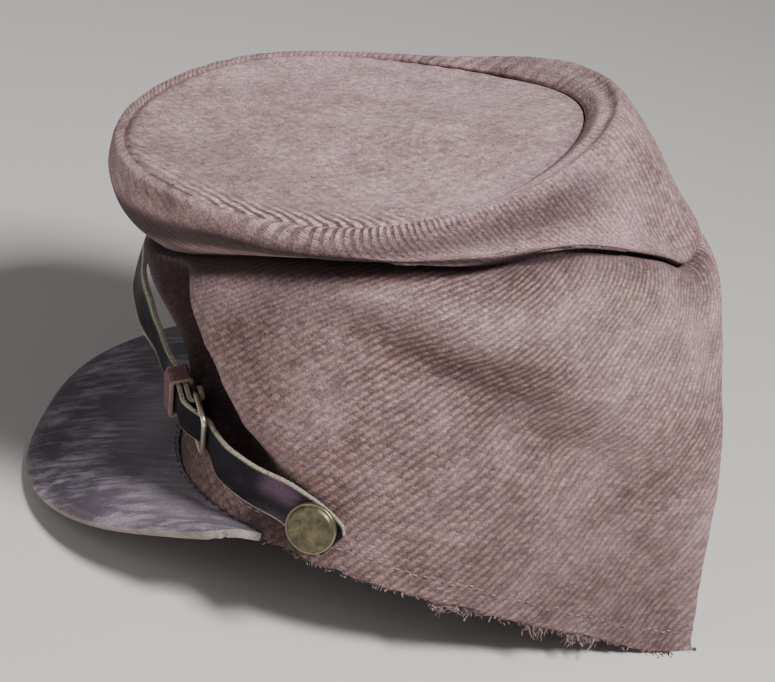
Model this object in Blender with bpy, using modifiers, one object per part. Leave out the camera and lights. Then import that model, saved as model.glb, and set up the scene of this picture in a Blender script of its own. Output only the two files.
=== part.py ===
"""Forage cap: a soft wool side with a slouch fold, a flat round crown, a leather peak and a chin strap.

Metres, +Z up. The peak points to -Y, the wearer's left is +X, and z = 0 is the surface that the cap
rests on, with its peak's edge and the back of its rim. Tables are in millimetres and degrees.
"""
import math
from collections import namedtuple

import bmesh
import bpy
import numpy as np
from mathutils import Matrix

MM = 0.001
GAP = 0.3                   # clearance between pieces that touch

# Cloth
CLOTH = 2.2                 # wall of the wool side and crown
COLUMNS = 64                # steps round the cap
STEPS_PER_SECTION = 2       # steps between two rows of the table below

# A section is a closed line round the cap, from the front, by the side, to the rear crease.
Section = namedtuple("Section", "name front_y front_z half_width side_y side_z rear_y rear_z crease")
SECTIONS = (
    #       name          front_y front_z half_w side_y side_z rear_y rear_z crease
    Section("rim",           -70,    22,   75.0,   -20,    32, 118.7,    -9,  1.00),
    Section("hem",           -70,    30,   75.5,   -20,    40,   116,     3,  0.95),
    Section("low side",      -72,    45,   76.0,   -20,    60,   109,    38,  0.80),
    Section("middle",        -81,    62,   76.0,   -18,    86,   102,    72,  0.70),
    Section("upper side",    -95,    76,   76.5,   -12,   111,    93,    98,  0.60),
    Section("fold bulge",    -99,    83,   76.0,    -4,   131,    81,   130,  0.50),
    Section("fold top",      -98,    86,   73.0,     0,   137,    73,   141,  0.50),
    Section("fold crease",   -94,    87,   67.0,     2,   139,    65,   141,  0.50),
    Section("lip",           -97,    89,   75.0,    -4,   141,    69,   145,  0.45),
    Section("roll low",     -104,    93,   79.0,   -18,   139,    60,   153,  0.30),
    Section("roll middle",  -113,   101,   80.5,   -32,   137,    48,   165,  0.10),
    Section("roll top",     -118,   111,   79.5,   -43,   137,    36,   175,  0.00),
    Section("welt",       -118.6,   120,   77.2,   -48,   140,    29,   177,  0.00),
    Section("crown seam", -115.6,   122,   74.0,   -48,   140,    22,   169,  0.00),
)
TWIST = 0.3                 # share of a section's slope that gathers at its front and rear
REAR_TAPER = 0.35           # how much a creased rear narrows beyond a parabola
BUNCHING = 4                # height over which the resting cloth bunches up

# Soft dents and folds. Each is centred at an angle from the front, positive to the wearer's left, and at
# a level, a row number of SECTIONS; slant is the angle that it moves per level, and out and up move it.
Dent = namedtuple("Dent", "name angle level slant angle_radius level_radius out up")
DENTS = (
    #    name                 angle level slant  a_rad l_rad   out    up
    Dent("left slant dent",     107,  3.5,  -32,    16,  0.9, -4.0,  0.0),
    Dent("left rear dent",      140,  2.2,  -12,    12,  1.2, -2.5,  0.0),
    Dent("left fold rise",      124,  7.0,    0,    26,  2.6,  0.0,  6.0),
    Dent("left fold end",       163,  7.0,    0,    12,  2.6,  0.0, -4.0),
    Dent("left roll hollow",    112, 10.3,    8,    16,  1.3, -2.5,  0.0),
    Dent("front hollow",          0,  3.2,    0,    18,  1.2, -1.5,  0.0),
    Dent("right front crease",  -52,  3.0,   14,    10,  2.4, -3.5,  0.0),
    Dent("right slant dent",    -98,  3.2,   24,    16,  0.8, -4.0,  0.0),
    Dent("right rear dent",    -142,  3.0,   14,    13,  1.4, -3.0,  0.0),
    Dent("right fold rise",    -105,  7.0,    0,    22,  2.6,  0.0,  4.0),
    Dent("right rear roll",    -134, 11.2,    0,    26,  1.6,  1.0,  4.5),
)

# The cloth puffs out over the chin strap on the wearer's left and tucks in behind it. The edge between
# them runs along this line of (angle, level).
PUFF_LINE = ((29, 6.2), (33, 5.2), (37, 4.1), (41, 3.3), (50, 2.75), (62, 2.3), (78, 1.95), (96, 1.75))
CLOTH_PER_DEGREE = 1.3      # mm of cloth round the cap
CLOTH_PER_LEVEL = 20        # mm of cloth up the cap
PUFF = 3                    # how far the cloth stands out above the line
PUFF_WIDTH = 9
TUCK = 12                   # how far it goes in below the line
TUCK_WIDTH = 8


def section_point(section, angle):
    """Point of a section at an angle from the front, positive towards the wearer's left, in mm."""
    along = -math.cos(angle)                    # -1 at the front, 0 at the side, 1 at the rear
    reach = section.rear_y - section.side_y if along > 0 else section.side_y - section.front_y
    round_width = math.sqrt(max(0.0, 1 - along ** 2))
    width = round_width
    if along > 0:
        creased_width = (1 - along ** 2) * (1 - REAR_TAPER * along ** 2)
        width = section.crease * creased_width + (1 - section.crease) * round_width
    arch = (section.front_z + section.rear_z) / 2 - section.side_z
    slope = (section.rear_z - section.front_z) / 2
    return np.array((
        math.copysign(section.half_width * width, math.sin(angle)),
        section.side_y + reach * along,
        section.side_z + arch * along ** 2 + slope * ((1 - TWIST) * along + TWIST * along ** 3),
    ))


def smooth_section(level):
    """Section at a level, a row number of SECTIONS, smoothly between the rows (Catmull-Rom)."""
    row = min(int(level), len(SECTIONS) - 2)
    t = level - row
    p0, p1, p2, p3 = (np.array(SECTIONS[min(max(row + i, 0), len(SECTIONS) - 1)][1:], float)
                      for i in (-1, 0, 1, 2))
    values = 0.5 * (2 * p1 + (p2 - p0) * t + (2 * p0 - 5 * p1 + 4 * p2 - p3) * t ** 2
                    + (3 * p1 - p0 - 3 * p2 + p3) * t ** 3)
    return Section(SECTIONS[row].name, *values)


def cap_grid():
    """Outer face of the side: an array of rows up the cap by columns round it, in mm."""
    levels = np.linspace(0, len(SECTIONS) - 1, (len(SECTIONS) - 1) * STEPS_PER_SECTION + 1)
    angles = [math.tau * column / COLUMNS for column in range(COLUMNS)]
    grid = np.array([[section_point(smooth_section(level), angle) + dent_move(level, angle)
                      + puff_move(level, angle) for angle in angles] for level in levels])
    grid[:, :, 2] = settled(grid[:, :, 2])
    return grid


def dent_move(level, angle):
    """Movement of the cloth by the dents at a level and angle, in mm. The crown seam stays in place."""
    outward = np.array((math.sin(angle), -math.cos(angle), 0))
    free = min(1, len(SECTIONS) - 1 - level)
    move = np.zeros(3)
    for dent in DENTS:
        centre = math.radians(dent.angle + dent.slant * (level - dent.level))
        turn = math.degrees(math.remainder(angle - centre, math.tau))
        share = math.exp(-(turn / dent.angle_radius) ** 2 - ((level - dent.level) / dent.level_radius) ** 4)
        move += share * free * (outward * dent.out + np.array((0, 0, dent.up)))
    return move


def puff_move(level, angle):
    """Movement of the cloth by the puff over the strap and the tuck behind it, in mm."""
    line = np.array(PUFF_LINE) * (CLOTH_PER_DEGREE, CLOTH_PER_LEVEL)
    turn = math.degrees(math.remainder(angle, math.tau))
    place = np.array((turn * CLOTH_PER_DEGREE, level * CLOTH_PER_LEVEL))
    nearest, above, run = math.inf, 0.0, 0.0
    for i, (start, end) in enumerate(zip(line, line[1:])):
        step = end - start
        share = min(1.0, max(0.0, (place - start) @ step / (step @ step)))
        away = place - start - share * step
        distance = math.hypot(*away)
        if distance < nearest:
            nearest, above, run = distance, step[0] * away[1] - step[1] * away[0], i + share
    signed = math.copysign(nearest, above)
    held = ease(run, 0, 1.5) * (1 - ease(run, len(line) - 3, len(line) - 1))
    out = (PUFF * math.exp(-((signed - PUFF_WIDTH * 0.9) / PUFF_WIDTH) ** 2)
           - TUCK * math.exp(-((signed + TUCK_WIDTH * 0.9) / TUCK_WIDTH) ** 2))
    return out * held * np.array((math.sin(angle), -math.cos(angle), 0))


def settled(height):
    """Heights of cloth that rests on the floor: they bunch up smoothly just above it."""
    low = (SECTIONS[0].rear_z + math.hypot(SECTIONS[0].rear_z, BUNCHING)) / 2
    return np.maximum((height + np.hypot(height, BUNCHING)) / 2 - low, 0)


# Leather peak, a crescent sewn to the front of the rim
PEAK_LEATHER = 2.6
PEAK_EDGE_Y = -37           # the outer edge is a superellipse round this point of the middle line
PEAK_REACH = 81.5           # forward from that point
PEAK_HALF_WIDTH = 82
PEAK_SQUARENESS = 2.7
PEAK_SKEW = -9.7            # sideways shift of the tip: the old peak has slipped to the right
PEAK_DROOP = 26.8           # degrees below level, front to back
PEAK_EDGE_Z = 43.9          # height of the outer edge's plane at PEAK_EDGE_Y
PEAK_ARCH = 4.6             # how far the edge's sides lie below that plane
PEAK_CAMBER = 2.5           # rise of the middle of the peak above a straight line
PEAK_LIP = 5                # width of the edge that turns down
PEAK_LIP_DROP = 1.2
PEAK_LAP = 1.5              # height of the sewn edge's top above the rim
PEAK_SEAT = 1.0             # distance of the sewn edge from the corners of the faceted rim
PEAK_END = 86               # degrees of the outer edge at the corners
PEAK_ROOT_END = 76          # degrees round the rim at the corners
PEAK_COLUMNS = 40
PEAK_RINGS = 7

# Crown
CROWN_SINK = 3.0            # depth of the middle below the seam
CROWN_RINGS = (1.0, 0.94, 0.82, 0.62, 0.34)

# Chin strap
STRAP_WIDTH = 14
STRAP_LEATHER = 1.8
Station = namedtuple("Station", "name x y z lean")
STRAP_ROUTE = (
    # the middle line of the strap, from the left end to the right end; lean turns its top edge outwards
    Station("left end",       81.0, -10.3, 43.3,  -8),
    Station("left button",    78.9, -17.5, 46.7,  -9),
    Station("left side",      76.3, -27.4, 49.4,   0),
    Station("left corner",    71.5, -42.2, 49.6,   6),
    Station("by the buckle",  65.0, -53.5, 50.6,  15),
    Station("buckle",         58.0, -59.8, 51.8,  18),
    Station("keeper",         42.3, -69.3, 57.0,  18),
    Station("lifting",        27.5, -82.0, 60.3,  20),
    Station("rising",         13.0, -93.0, 64.5,   5),
    Station("front",          -3.0, -99.0, 66.5,   0),
    Station("past front",    -20.0, -101.5, 67.5, 0),
    Station("right front",   -36.0, -98.0, 67.0,   0),
    Station("falling",       -51.0, -88.0, 63.0,   0),
    Station("right corner",  -64.0, -70.0, 56.5,   0),
    Station("right side",    -73.5, -44.0, 50.0,   0),
    Station("right button",  -78.9, -17.5, 46.7,  -9),
    Station("right end",     -81.0, -10.3, 43.3,  -8),
)
STRAP_STEP = 3.8            # length of a step along the strap

# Buckle, a wire slide. The strap's right part is folded round its far bar. The left part goes in under its
# near bar, out over the far bar and through the keeper.
WIRE_RADIUS = 0.9
BUCKLE_LENGTH = 12
BUCKLE_WIDTH = STRAP_WIDTH + 2.9
NEAR_BAR = 56               # distance along the route
FAR_BAR = NEAR_BAR + BUCKLE_LENGTH
FOLD_RADIUS = WIRE_RADIUS + GAP + STRAP_LEATHER / 2
FOLD_BACK = 5               # length of the strap's folded end
OVER_FOLD = FOLD_RADIUS + STRAP_LEATHER + GAP

KEEPER_AT = FAR_BAR + 8.5
KEEPER_WIDTH = 6.5
KEEPER_LEATHER = 1.4
TAIL = 3.5                  # length of the left part past the keeper

# Buttons
BUTTON_RADIUS = 8.2
BUTTON_DOME = 2.2
BUTTON_EDGE = 1.4
BUTTON_STANDOFF = 1.6       # from the strap's face to the back of the button
SHANK_RADIUS = 2.0
BUTTON_ALONG = 8.5          # distance of each button from the end of the route
BUTTON_SIDES = 24

# Colours are linear
WOOL = (0.16, 0.105, 0.085)
BLACK_LEATHER = (0.035, 0.032, 0.034)
BROWN_LEATHER = (0.11, 0.045, 0.03)
BRASS = (0.38, 0.33, 0.19)
PALE_BRASS = (0.55, 0.50, 0.38)


def unit(vector):
    """Vector of length 1."""
    return vector / np.linalg.norm(vector)


def peak_grid():
    """Upper face of the peak: rows from the rim out to the edge by columns from left to right, in mm."""
    rows = []
    power = 2 / PEAK_SQUARENESS
    for ring in range(PEAK_RINGS + 1):
        out = ring / PEAK_RINGS
        row = []
        for column in range(PEAK_COLUMNS + 1):
            turn = 1 - 2 * column / PEAK_COLUMNS
            edge_angle = math.radians(PEAK_END * turn)
            root = section_point(SECTIONS[0], math.radians(PEAK_ROOT_END * turn))
            outward = unit(np.array((root[0], root[1] - SECTIONS[0].side_y, 0)))
            root = root + outward * PEAK_SEAT + np.array((0, 0, PEAK_LAP))
            forward = math.cos(edge_angle) ** power
            across = math.copysign(abs(math.sin(edge_angle)) ** power, edge_angle)
            edge = np.array((
                PEAK_HALF_WIDTH * across + PEAK_SKEW * forward,
                PEAK_EDGE_Y - PEAK_REACH * forward,
                PEAK_EDGE_Z - PEAK_REACH * forward * math.tan(math.radians(PEAK_DROOP))
                - PEAK_ARCH * across ** 2,
            ))
            depth = np.linalg.norm(edge - root)
            point = root + (edge - root) * out
            point[2] += PEAK_CAMBER * math.sin(math.pi * out) * min(1, depth / PEAK_REACH * 2)
            lip = max(0.0, 1 - (1 - out) * depth / PEAK_LIP)
            point[2] -= PEAK_LIP_DROP * lip ** 2 * min(1, depth / PEAK_REACH * 2)
            row.append(point)
        rows.append(row)
    return np.array(rows)


def crown_grid():
    """Upper face of the crown: rings from the seam inwards by columns round it, and its middle, in mm."""
    seam = SECTIONS[-1]
    middle = np.array((0, (seam.front_y + seam.rear_y) / 2, (seam.front_z + seam.rear_z) / 2))
    rings = []
    for ring in CROWN_RINGS:
        share = ring * (1 - GAP / seam.half_width)
        sink = np.array((0, 0, CROWN_SINK * (1 - ring ** 4)))
        rings.append([middle + (section_point(seam, math.tau * column / COLUMNS) - middle) * share - sink
                      for column in range(COLUMNS)])
    return np.array(rings), middle - np.array((0, 0, CROWN_SINK))


def catmull_rom(points, row, t):
    """Value between two rows of an array, on the smooth curve through them all."""
    p0, p1, p2, p3 = (points[min(max(row + i, 0), len(points) - 1)] for i in (-1, 0, 1, 2))
    return 0.5 * (2 * p1 + (p2 - p0) * t + (2 * p0 - 5 * p1 + 4 * p2 - p3) * t ** 2
                  + (3 * p1 - p0 - 3 * p2 + p3) * t ** 3)


class Route:
    """The strap's middle line, read by the distance along it."""

    def __init__(self, stations, fineness=24):
        table = np.array([station[1:] for station in stations], float)
        samples = [catmull_rom(table, row, step / fineness)
                   for row in range(len(table) - 1) for step in range(fineness)]
        self.samples = np.array(samples + [table[-1]])
        steps = np.linalg.norm(np.diff(self.samples[:, :3], axis=0), axis=1)
        self.distances = np.concatenate(((0,), np.cumsum(steps)))
        self.length = self.distances[-1]

    def frame(self, distance):
        """Point, direction along, direction up the strap's width and outward direction at a distance."""
        x, y, z, lean = (np.interp(distance, self.distances, self.samples[:, i]) for i in range(4))
        ahead, behind = (np.array([np.interp(distance + d, self.distances, self.samples[:, i])
                                   for i in range(3)]) for d in (1, -1))
        along = unit(ahead - behind)
        up = np.array((0, 0, 1.0))
        up = unit(up - along * (up @ along))
        out = np.cross(up, along)
        turn = math.radians(lean)
        up, out = up * math.cos(turn) + out * math.sin(turn), out * math.cos(turn) - up * math.sin(turn)
        return np.array((x, y, z)), along, up, out


ROUTE = Route(STRAP_ROUTE)


def ribbon_grid(path):
    """Rows along a strap by its two edges, for a path of (distance along the route, distance out)."""
    rows = []
    for distance, out_by in path:
        point, _, up, out = ROUTE.frame(distance)
        middle = point + out * out_by
        rows.append((middle - up * STRAP_WIDTH / 2, middle, middle + up * STRAP_WIDTH / 2))
    return np.array(rows)


def spaced(start, end):
    """Distances from start to end in even steps of about STRAP_STEP."""
    return np.linspace(start, end, max(2, round(abs(end - start) / STRAP_STEP) + 1))


def left_strap_offset(distance):
    """How far the strap's left part lies outside the middle line."""
    return (-FOLD_RADIUS * ease(distance, NEAR_BAR - 14, NEAR_BAR - 2)
            + (FOLD_RADIUS + OVER_FOLD) * ease(distance, NEAR_BAR, FAR_BAR))


def left_strap_path():
    """From the left end in under the near bar, out over the far bar and through the keeper."""
    straight = [(d, left_strap_offset(d)) for d in spaced(0, NEAR_BAR - 2)]
    crossing = [(d, left_strap_offset(d)) for d in np.linspace(NEAR_BAR, FAR_BAR, 6)]
    tail = [(d, OVER_FOLD) for d in spaced(FAR_BAR + 3, KEEPER_AT + KEEPER_WIDTH / 2 + TAIL)]
    return straight + crossing + tail


def right_strap_offset(distance):
    """How far the strap's right part lies outside the middle line, from its fold to its far end."""
    return FOLD_RADIUS * (1 - ease(distance, KEEPER_AT + 7, KEEPER_AT + 25))


def right_strap_path():
    """From the folded end round the far bar, through the keeper and round the front to the right end."""
    inside = [(d, -FOLD_RADIUS) for d in spaced(FAR_BAR + FOLD_BACK, FAR_BAR)]
    turn = [(FAR_BAR - FOLD_RADIUS * math.sin(a), -FOLD_RADIUS * math.cos(a))
            for a in np.radians(np.arange(30, 180, 30))]
    outside = [(d, right_strap_offset(d)) for d in spaced(FAR_BAR, ROUTE.length)]
    return inside + turn + outside


def ease(value, start, end):
    """0 before start, 1 after end, and smooth between them."""
    t = min(1.0, max(0.0, (value - start) / (end - start)))
    return t * t * (3 - 2 * t)


# ---- Blender objects


def clear_scene():
    """Remove the objects of the open scene."""
    for scene_object in list(bpy.data.objects):
        bpy.data.objects.remove(scene_object)


def collection(name):
    """New collection in the scene."""
    made = bpy.data.collections.new(name)
    bpy.context.scene.collection.children.link(made)
    return made


def material(name, colour, roughness, metallic=0.0):
    """Principled material."""
    made = bpy.data.materials.new(name)
    made.use_nodes = True
    shader = made.node_tree.nodes["Principled BSDF"]
    shader.inputs["Base Color"].default_value = (*colour, 1)
    shader.inputs["Roughness"].default_value = roughness
    shader.inputs["Metallic"].default_value = metallic
    return made


def mesh_object(name, bm, group, finish):
    """Object from a bmesh in millimetres, shaded smooth."""
    bmesh.ops.scale(bm, vec=(MM, MM, MM), verts=bm.verts)
    mesh = bpy.data.meshes.new(name)
    bm.to_mesh(mesh)
    bm.free()
    mesh.shade_smooth()
    mesh.set_sharp_from_angle(angle=math.radians(40))
    made = bpy.data.objects.new(name, mesh)
    mesh.materials.append(finish)
    group.objects.link(made)
    return made


def sheet_bmesh(grid, closed=False, middle=None):
    """Open surface over a grid of points; closed joins its last column to its first, middle fills it."""
    bm = bmesh.new()
    rows, columns = grid.shape[:2]
    verts = [[bm.verts.new(point) for point in row] for row in grid]
    for row in range(rows - 1):
        for column in range(columns if closed else columns - 1):
            after = (column + 1) % columns
            bm.faces.new((verts[row][column], verts[row][after], verts[row + 1][after],
                          verts[row + 1][column]))
    if middle is not None:
        centre = bm.verts.new(middle)
        for column in range(columns):
            bm.faces.new((verts[-1][column], verts[-1][(column + 1) % columns], centre))
    return bm


def thicken(sheet, thickness, side):
    """Give a sheet its wall: side -1 goes behind its faces, 0 to both sides."""
    solid = sheet.modifiers.new("Wall", "SOLIDIFY")
    solid.thickness = thickness * MM
    solid.offset = side


def settle(piece):
    """Apply a piece's modifiers and flatten what reaches below the surface that the cap rests on."""
    evaluated = piece.evaluated_get(bpy.context.evaluated_depsgraph_get())
    mesh = bpy.data.meshes.new_from_object(evaluated)
    for vertex in mesh.vertices:
        vertex.co.z = max(vertex.co.z, 0.0)
    piece.modifiers.clear()
    piece.data = mesh


def build_body(group, finish):
    """The wool side: one wall from the hem to the crown seam."""
    body = mesh_object("body", sheet_bmesh(cap_grid(), closed=True), group, finish)
    thicken(body, CLOTH, -1)
    settle(body)


def build_crown(group, finish):
    """The round top, inside the crown seam."""
    rings, middle = crown_grid()
    crown = mesh_object("crown_top", sheet_bmesh(rings, closed=True, middle=middle), group, finish)
    thicken(crown, CLOTH, -1)


def build_peak(group, finish):
    """The leather peak."""
    peak = mesh_object("peak", sheet_bmesh(peak_grid()), group, finish)
    thicken(peak, PEAK_LEATHER, -1)
    settle(peak)


def build_strap(name, path, group, finish, hole):
    """One part of the chin strap, with the hole that its button's shank goes through."""
    strap = mesh_object(name, sheet_bmesh(ribbon_grid(path)), group, finish)
    thicken(strap, STRAP_LEATHER, 0)
    cut = strap.modifiers.new("Button hole", "BOOLEAN")
    cut.operation = "DIFFERENCE"
    cut.object = hole


def place_on_strap(piece, distance):
    """Turn a piece's +Z outwards at a distance along the strap, with its origin on the middle line."""
    point, along, up, out = ROUTE.frame(distance)
    piece.matrix_world = Matrix((
        (along[0], up[0], out[0], point[0] * MM),
        (along[1], up[1], out[1], point[1] * MM),
        (along[2], up[2], out[2], point[2] * MM),
        (0, 0, 0, 1),
    ))
    if piece.matrix_world.determinant() < 0:
        piece.matrix_world = piece.matrix_world @ Matrix.Scale(-1, 4, (1, 0, 0))


def shank_hole(name, distance, group):
    """Cutter for the hole in the strap under a button."""
    bm = bmesh.new()
    bmesh.ops.create_cone(bm, cap_ends=True, segments=12, radius1=SHANK_RADIUS + GAP,
                          radius2=SHANK_RADIUS + GAP, depth=4 * STRAP_LEATHER)
    hole = mesh_object(name, bm, group, None)
    place_on_strap(hole, distance)
    hole.hide_render = True
    hole.display_type = "WIRE"
    return hole


def build_button(name, distance, group, finish):
    """A domed button with its shank, turned from a profile."""
    back = STRAP_LEATHER / 2 + BUTTON_STANDOFF
    front = back + BUTTON_EDGE
    profile = [(BUTTON_RADIUS * math.sin(a), front + BUTTON_DOME * math.cos(a))
               for a in np.radians((0, 20, 40, 60, 78))]
    profile += [(BUTTON_RADIUS, front - BUTTON_EDGE * 0.3), (BUTTON_RADIUS - 0.2, back),
                (SHANK_RADIUS + 1.0, back), (SHANK_RADIUS, back - 0.8),
                (SHANK_RADIUS, -STRAP_LEATHER / 2 - GAP), (0, -STRAP_LEATHER / 2 - GAP)]
    bm = bmesh.new()
    verts = [bm.verts.new((x, 0, z)) for x, z in profile]
    for upper, lower in zip(verts, verts[1:]):
        bm.edges.new((upper, lower))
    button = mesh_object(name, bm, group, finish)
    turned = button.modifiers.new("Turned", "SCREW")
    turned.steps = turned.render_steps = BUTTON_SIDES
    turned.use_merge_vertices = True
    turned.merge_threshold = 0.00001
    turned.use_normal_calculate = True
    place_on_strap(button, distance)


def build_buckle(group, finish):
    """The wire slide, a flat rounded frame round the strap."""
    near, _, near_up, _ = ROUTE.frame(NEAR_BAR)
    far, _, far_up, _ = ROUTE.frame(FAR_BAR)
    length, up = unit(far - near), near_up + far_up
    across = unit(up - length * (up @ length))
    corner = 2.0
    half = BUCKLE_WIDTH / 2
    outline = []
    for centre_along, centre_across, start in (
            (corner, corner - half, 180), (BUCKLE_LENGTH - corner, corner - half, 270),
            (BUCKLE_LENGTH - corner, half - corner, 0), (corner, half - corner, 90)):
        for angle in np.radians((start, start + 30, start + 60, start + 90)):
            outline.append((centre_along + corner * math.cos(angle),
                            centre_across + corner * math.sin(angle)))
    curve = bpy.data.curves.new("buckle", "CURVE")
    curve.dimensions = "3D"
    curve.bevel_depth = WIRE_RADIUS * MM
    curve.bevel_resolution = 2
    wire = curve.splines.new("POLY")
    wire.points.add(len(outline) - 1)
    for point, (a, b) in zip(wire.points, outline):
        point.co = (*((near + length * a + across * b) * MM), 1)
    wire.use_cyclic_u = True
    curve.materials.append(finish)
    group.objects.link(bpy.data.objects.new("buckle", curve))


def build_keeper(group, finish):
    """The leather loop that holds the strap flat in front of the buckle."""
    half_width = STRAP_WIDTH / 2 + GAP * 1.5
    half_depth = (OVER_FOLD - FOLD_RADIUS) / 2 + STRAP_LEATHER / 2 + GAP * 1.5
    corner = 0.6
    ring = ((half_depth, corner - half_width), (half_depth, 0), (half_depth, half_width - corner),
            (half_depth - corner, half_width), (corner - half_depth, half_width),
            (-half_depth, half_width - corner), (-half_depth, 0), (-half_depth, corner - half_width),
            (corner - half_depth, -half_width), (half_depth - corner, -half_width))
    rows = []
    for share in (-0.5, 0, 0.5):
        point, _, up, out = ROUTE.frame(KEEPER_AT + share * KEEPER_WIDTH)
        middle = point + out * (FOLD_RADIUS + OVER_FOLD) / 2
        rows.append([middle + out * depth + up * width for depth, width in ring])
    keeper = mesh_object("keeper", sheet_bmesh(np.array(rows), closed=True), group, finish)
    thicken(keeper, KEEPER_LEATHER, 1)


def build_cap():
    """Build every piece of the cap."""
    clear_scene()
    pieces = collection("forage_cap")
    cutters = collection("cutters")
    wool = material("brown_wool", WOOL, 0.95)
    black = material("black_leather", BLACK_LEATHER, 0.6)
    brown = material("brown_leather", BROWN_LEATHER, 0.6)
    brass = material("dull_brass", BRASS, 0.5, 0.9)
    pale_brass = material("pale_brass", PALE_BRASS, 0.4, 0.9)
    build_body(pieces, wool)
    build_crown(pieces, wool)
    build_peak(pieces, black)
    for side, distance, path in (("left", BUTTON_ALONG, left_strap_path()),
                                 ("right", ROUTE.length - BUTTON_ALONG, right_strap_path())):
        hole = shank_hole("hole_" + side, distance, cutters)
        build_strap("strap_" + side, path, pieces, black, hole)
        build_button("button_" + side, distance, pieces, brass)
    build_buckle(pieces, pale_brass)
    build_keeper(pieces, brown)


build_cap()
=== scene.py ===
"""Looks of a worn forage cap: twill wool sides and crown, a leather peak, a chin strap and brass buttons.

Everything is in metres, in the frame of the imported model: the peak points to -Y, the wearer's left is +X
and the cap rests on z = 0. Tables and sizes named in the classes are in millimetres and degrees.
"""
from __future__ import annotations

import logging
import math
import sys
from dataclasses import dataclass, field
from enum import Enum
from typing import Any, ClassVar, NamedTuple, Optional, Sequence

import bmesh
import bpy
import numpy as np
from bpy.types import Material, Node, NodeSocket, NodeTree, Object
from mathutils import Matrix, Vector, noise

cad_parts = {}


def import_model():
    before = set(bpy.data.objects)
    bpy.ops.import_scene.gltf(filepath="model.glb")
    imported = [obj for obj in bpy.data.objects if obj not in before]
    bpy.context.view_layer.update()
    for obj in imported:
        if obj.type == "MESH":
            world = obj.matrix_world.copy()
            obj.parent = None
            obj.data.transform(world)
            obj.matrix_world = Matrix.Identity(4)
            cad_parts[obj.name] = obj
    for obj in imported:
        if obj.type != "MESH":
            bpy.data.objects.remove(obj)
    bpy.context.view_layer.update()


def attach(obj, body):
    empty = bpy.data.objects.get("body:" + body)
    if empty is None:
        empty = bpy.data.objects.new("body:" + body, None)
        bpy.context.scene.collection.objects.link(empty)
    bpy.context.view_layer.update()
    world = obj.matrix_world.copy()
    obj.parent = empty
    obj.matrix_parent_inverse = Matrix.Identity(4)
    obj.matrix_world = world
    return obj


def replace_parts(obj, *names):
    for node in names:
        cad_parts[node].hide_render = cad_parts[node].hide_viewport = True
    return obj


LOG = logging.getLogger("forage_cap")
MM = 0.001
BODY = "root"
MIX_A, MIX_B = 6, 7         # the colour sockets of a Mix node, which share their names with others


# ---------------------------------------------------------------- small tools


def linear(code: str) -> tuple[float, float, float, float]:
    """Turn an sRGB hex code into a linear colour.

    Args:
        code: Six hex digits, with or without a leading #.

    Returns:
        Red, green, blue and an alpha of 1.
    """
    digits = code.lstrip("#")
    parts = [int(digits[i:i + 2], 16) / 255 for i in (0, 2, 4)]
    low, high = 0.04045, 0.055
    return (*(c / 12.92 if c <= low else ((c + high) / (1 + high)) ** 2.4 for c in parts), 1.0)


def add(tree: NodeTree, kind: str, inputs: Optional[dict[Any, Any]] = None, **settings: Any) -> Node:
    """Add a node with its settings, its constants and its links.

    Args:
        tree: Node tree of a material or of Geometry Nodes.
        kind: Type name of the node.
        inputs: Input name or number to a constant, to an output socket, or to a node, whose first
            output is linked.
        **settings: Properties of the node.

    Returns:
        The new node.
    """
    node = tree.nodes.new(kind)
    for name, value in settings.items():
        setattr(node, name, value)
    for key, value in (inputs or {}).items():
        if isinstance(value, Node):
            value = next(output for output in value.outputs if output.enabled)
        if isinstance(value, NodeSocket):
            tree.links.new(value, node.inputs[key])
        else:
            node.inputs[key].default_value = value
    return node


def ease(value: Any, start: float, end: float) -> Any:
    """Rise smoothly from 0 at start to 1 at end, for a number or an array."""
    t = np.clip((np.asarray(value, float) - start) / (end - start), 0, 1)
    return t * t * (3 - 2 * t)


def bell(value: Any, centre: Any, width: Any, power: int = 2) -> Any:
    """Fall from 1 at the centre to nearly 0 beyond the width; a higher power keeps the top flatter."""
    return np.exp(-((value - centre) / width) ** power)


def catmull_rom(table: np.ndarray, places: np.ndarray) -> np.ndarray:
    """Read a table between its rows, on the smooth curve through them.

    Args:
        table: Rows of values.
        places: Row numbers, which may lie between rows.

    Returns:
        One row of values for each place.
    """
    last = len(table) - 1
    row = np.minimum(places.astype(int), last - 1)
    t = (places - row)[:, None]
    p0, p1, p2, p3 = (table[np.clip(row + i, 0, last)] for i in (-1, 0, 1, 2))
    return 0.5 * (2 * p1 + (p2 - p0) * t + (2 * p0 - 5 * p1 + 4 * p2 - p3) * t ** 2
                  + (3 * p1 - p0 - 3 * p2 + p3) * t ** 3)


def ripple(points: np.ndarray, size: float, seed: float = 0.0, octaves: int = 3) -> np.ndarray:
    """Soft random relief.

    Args:
        points: Array of points, in mm.
        size: Width of the largest swells, in mm.
        seed: Shift that picks another pattern.
        octaves: Number of layers of finer relief.

    Returns:
        Values of about -1 to 1, one for each point.
    """
    flat = points.reshape(-1, 3) / size + seed
    values = [noise.fractal(Vector(p), 1.0, 2.0, octaves, noise_basis="PERLIN_ORIGINAL") for p in flat]
    return np.array(values).reshape(points.shape[:-1])


def unit(vectors: np.ndarray) -> np.ndarray:
    """Scale vectors to length 1."""
    return vectors / np.maximum(np.linalg.norm(vectors, axis=-1, keepdims=True), 1e-12)


def link(piece: Object) -> Object:
    """Put an object in the scene."""
    bpy.context.scene.collection.objects.link(piece)
    return piece


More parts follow.
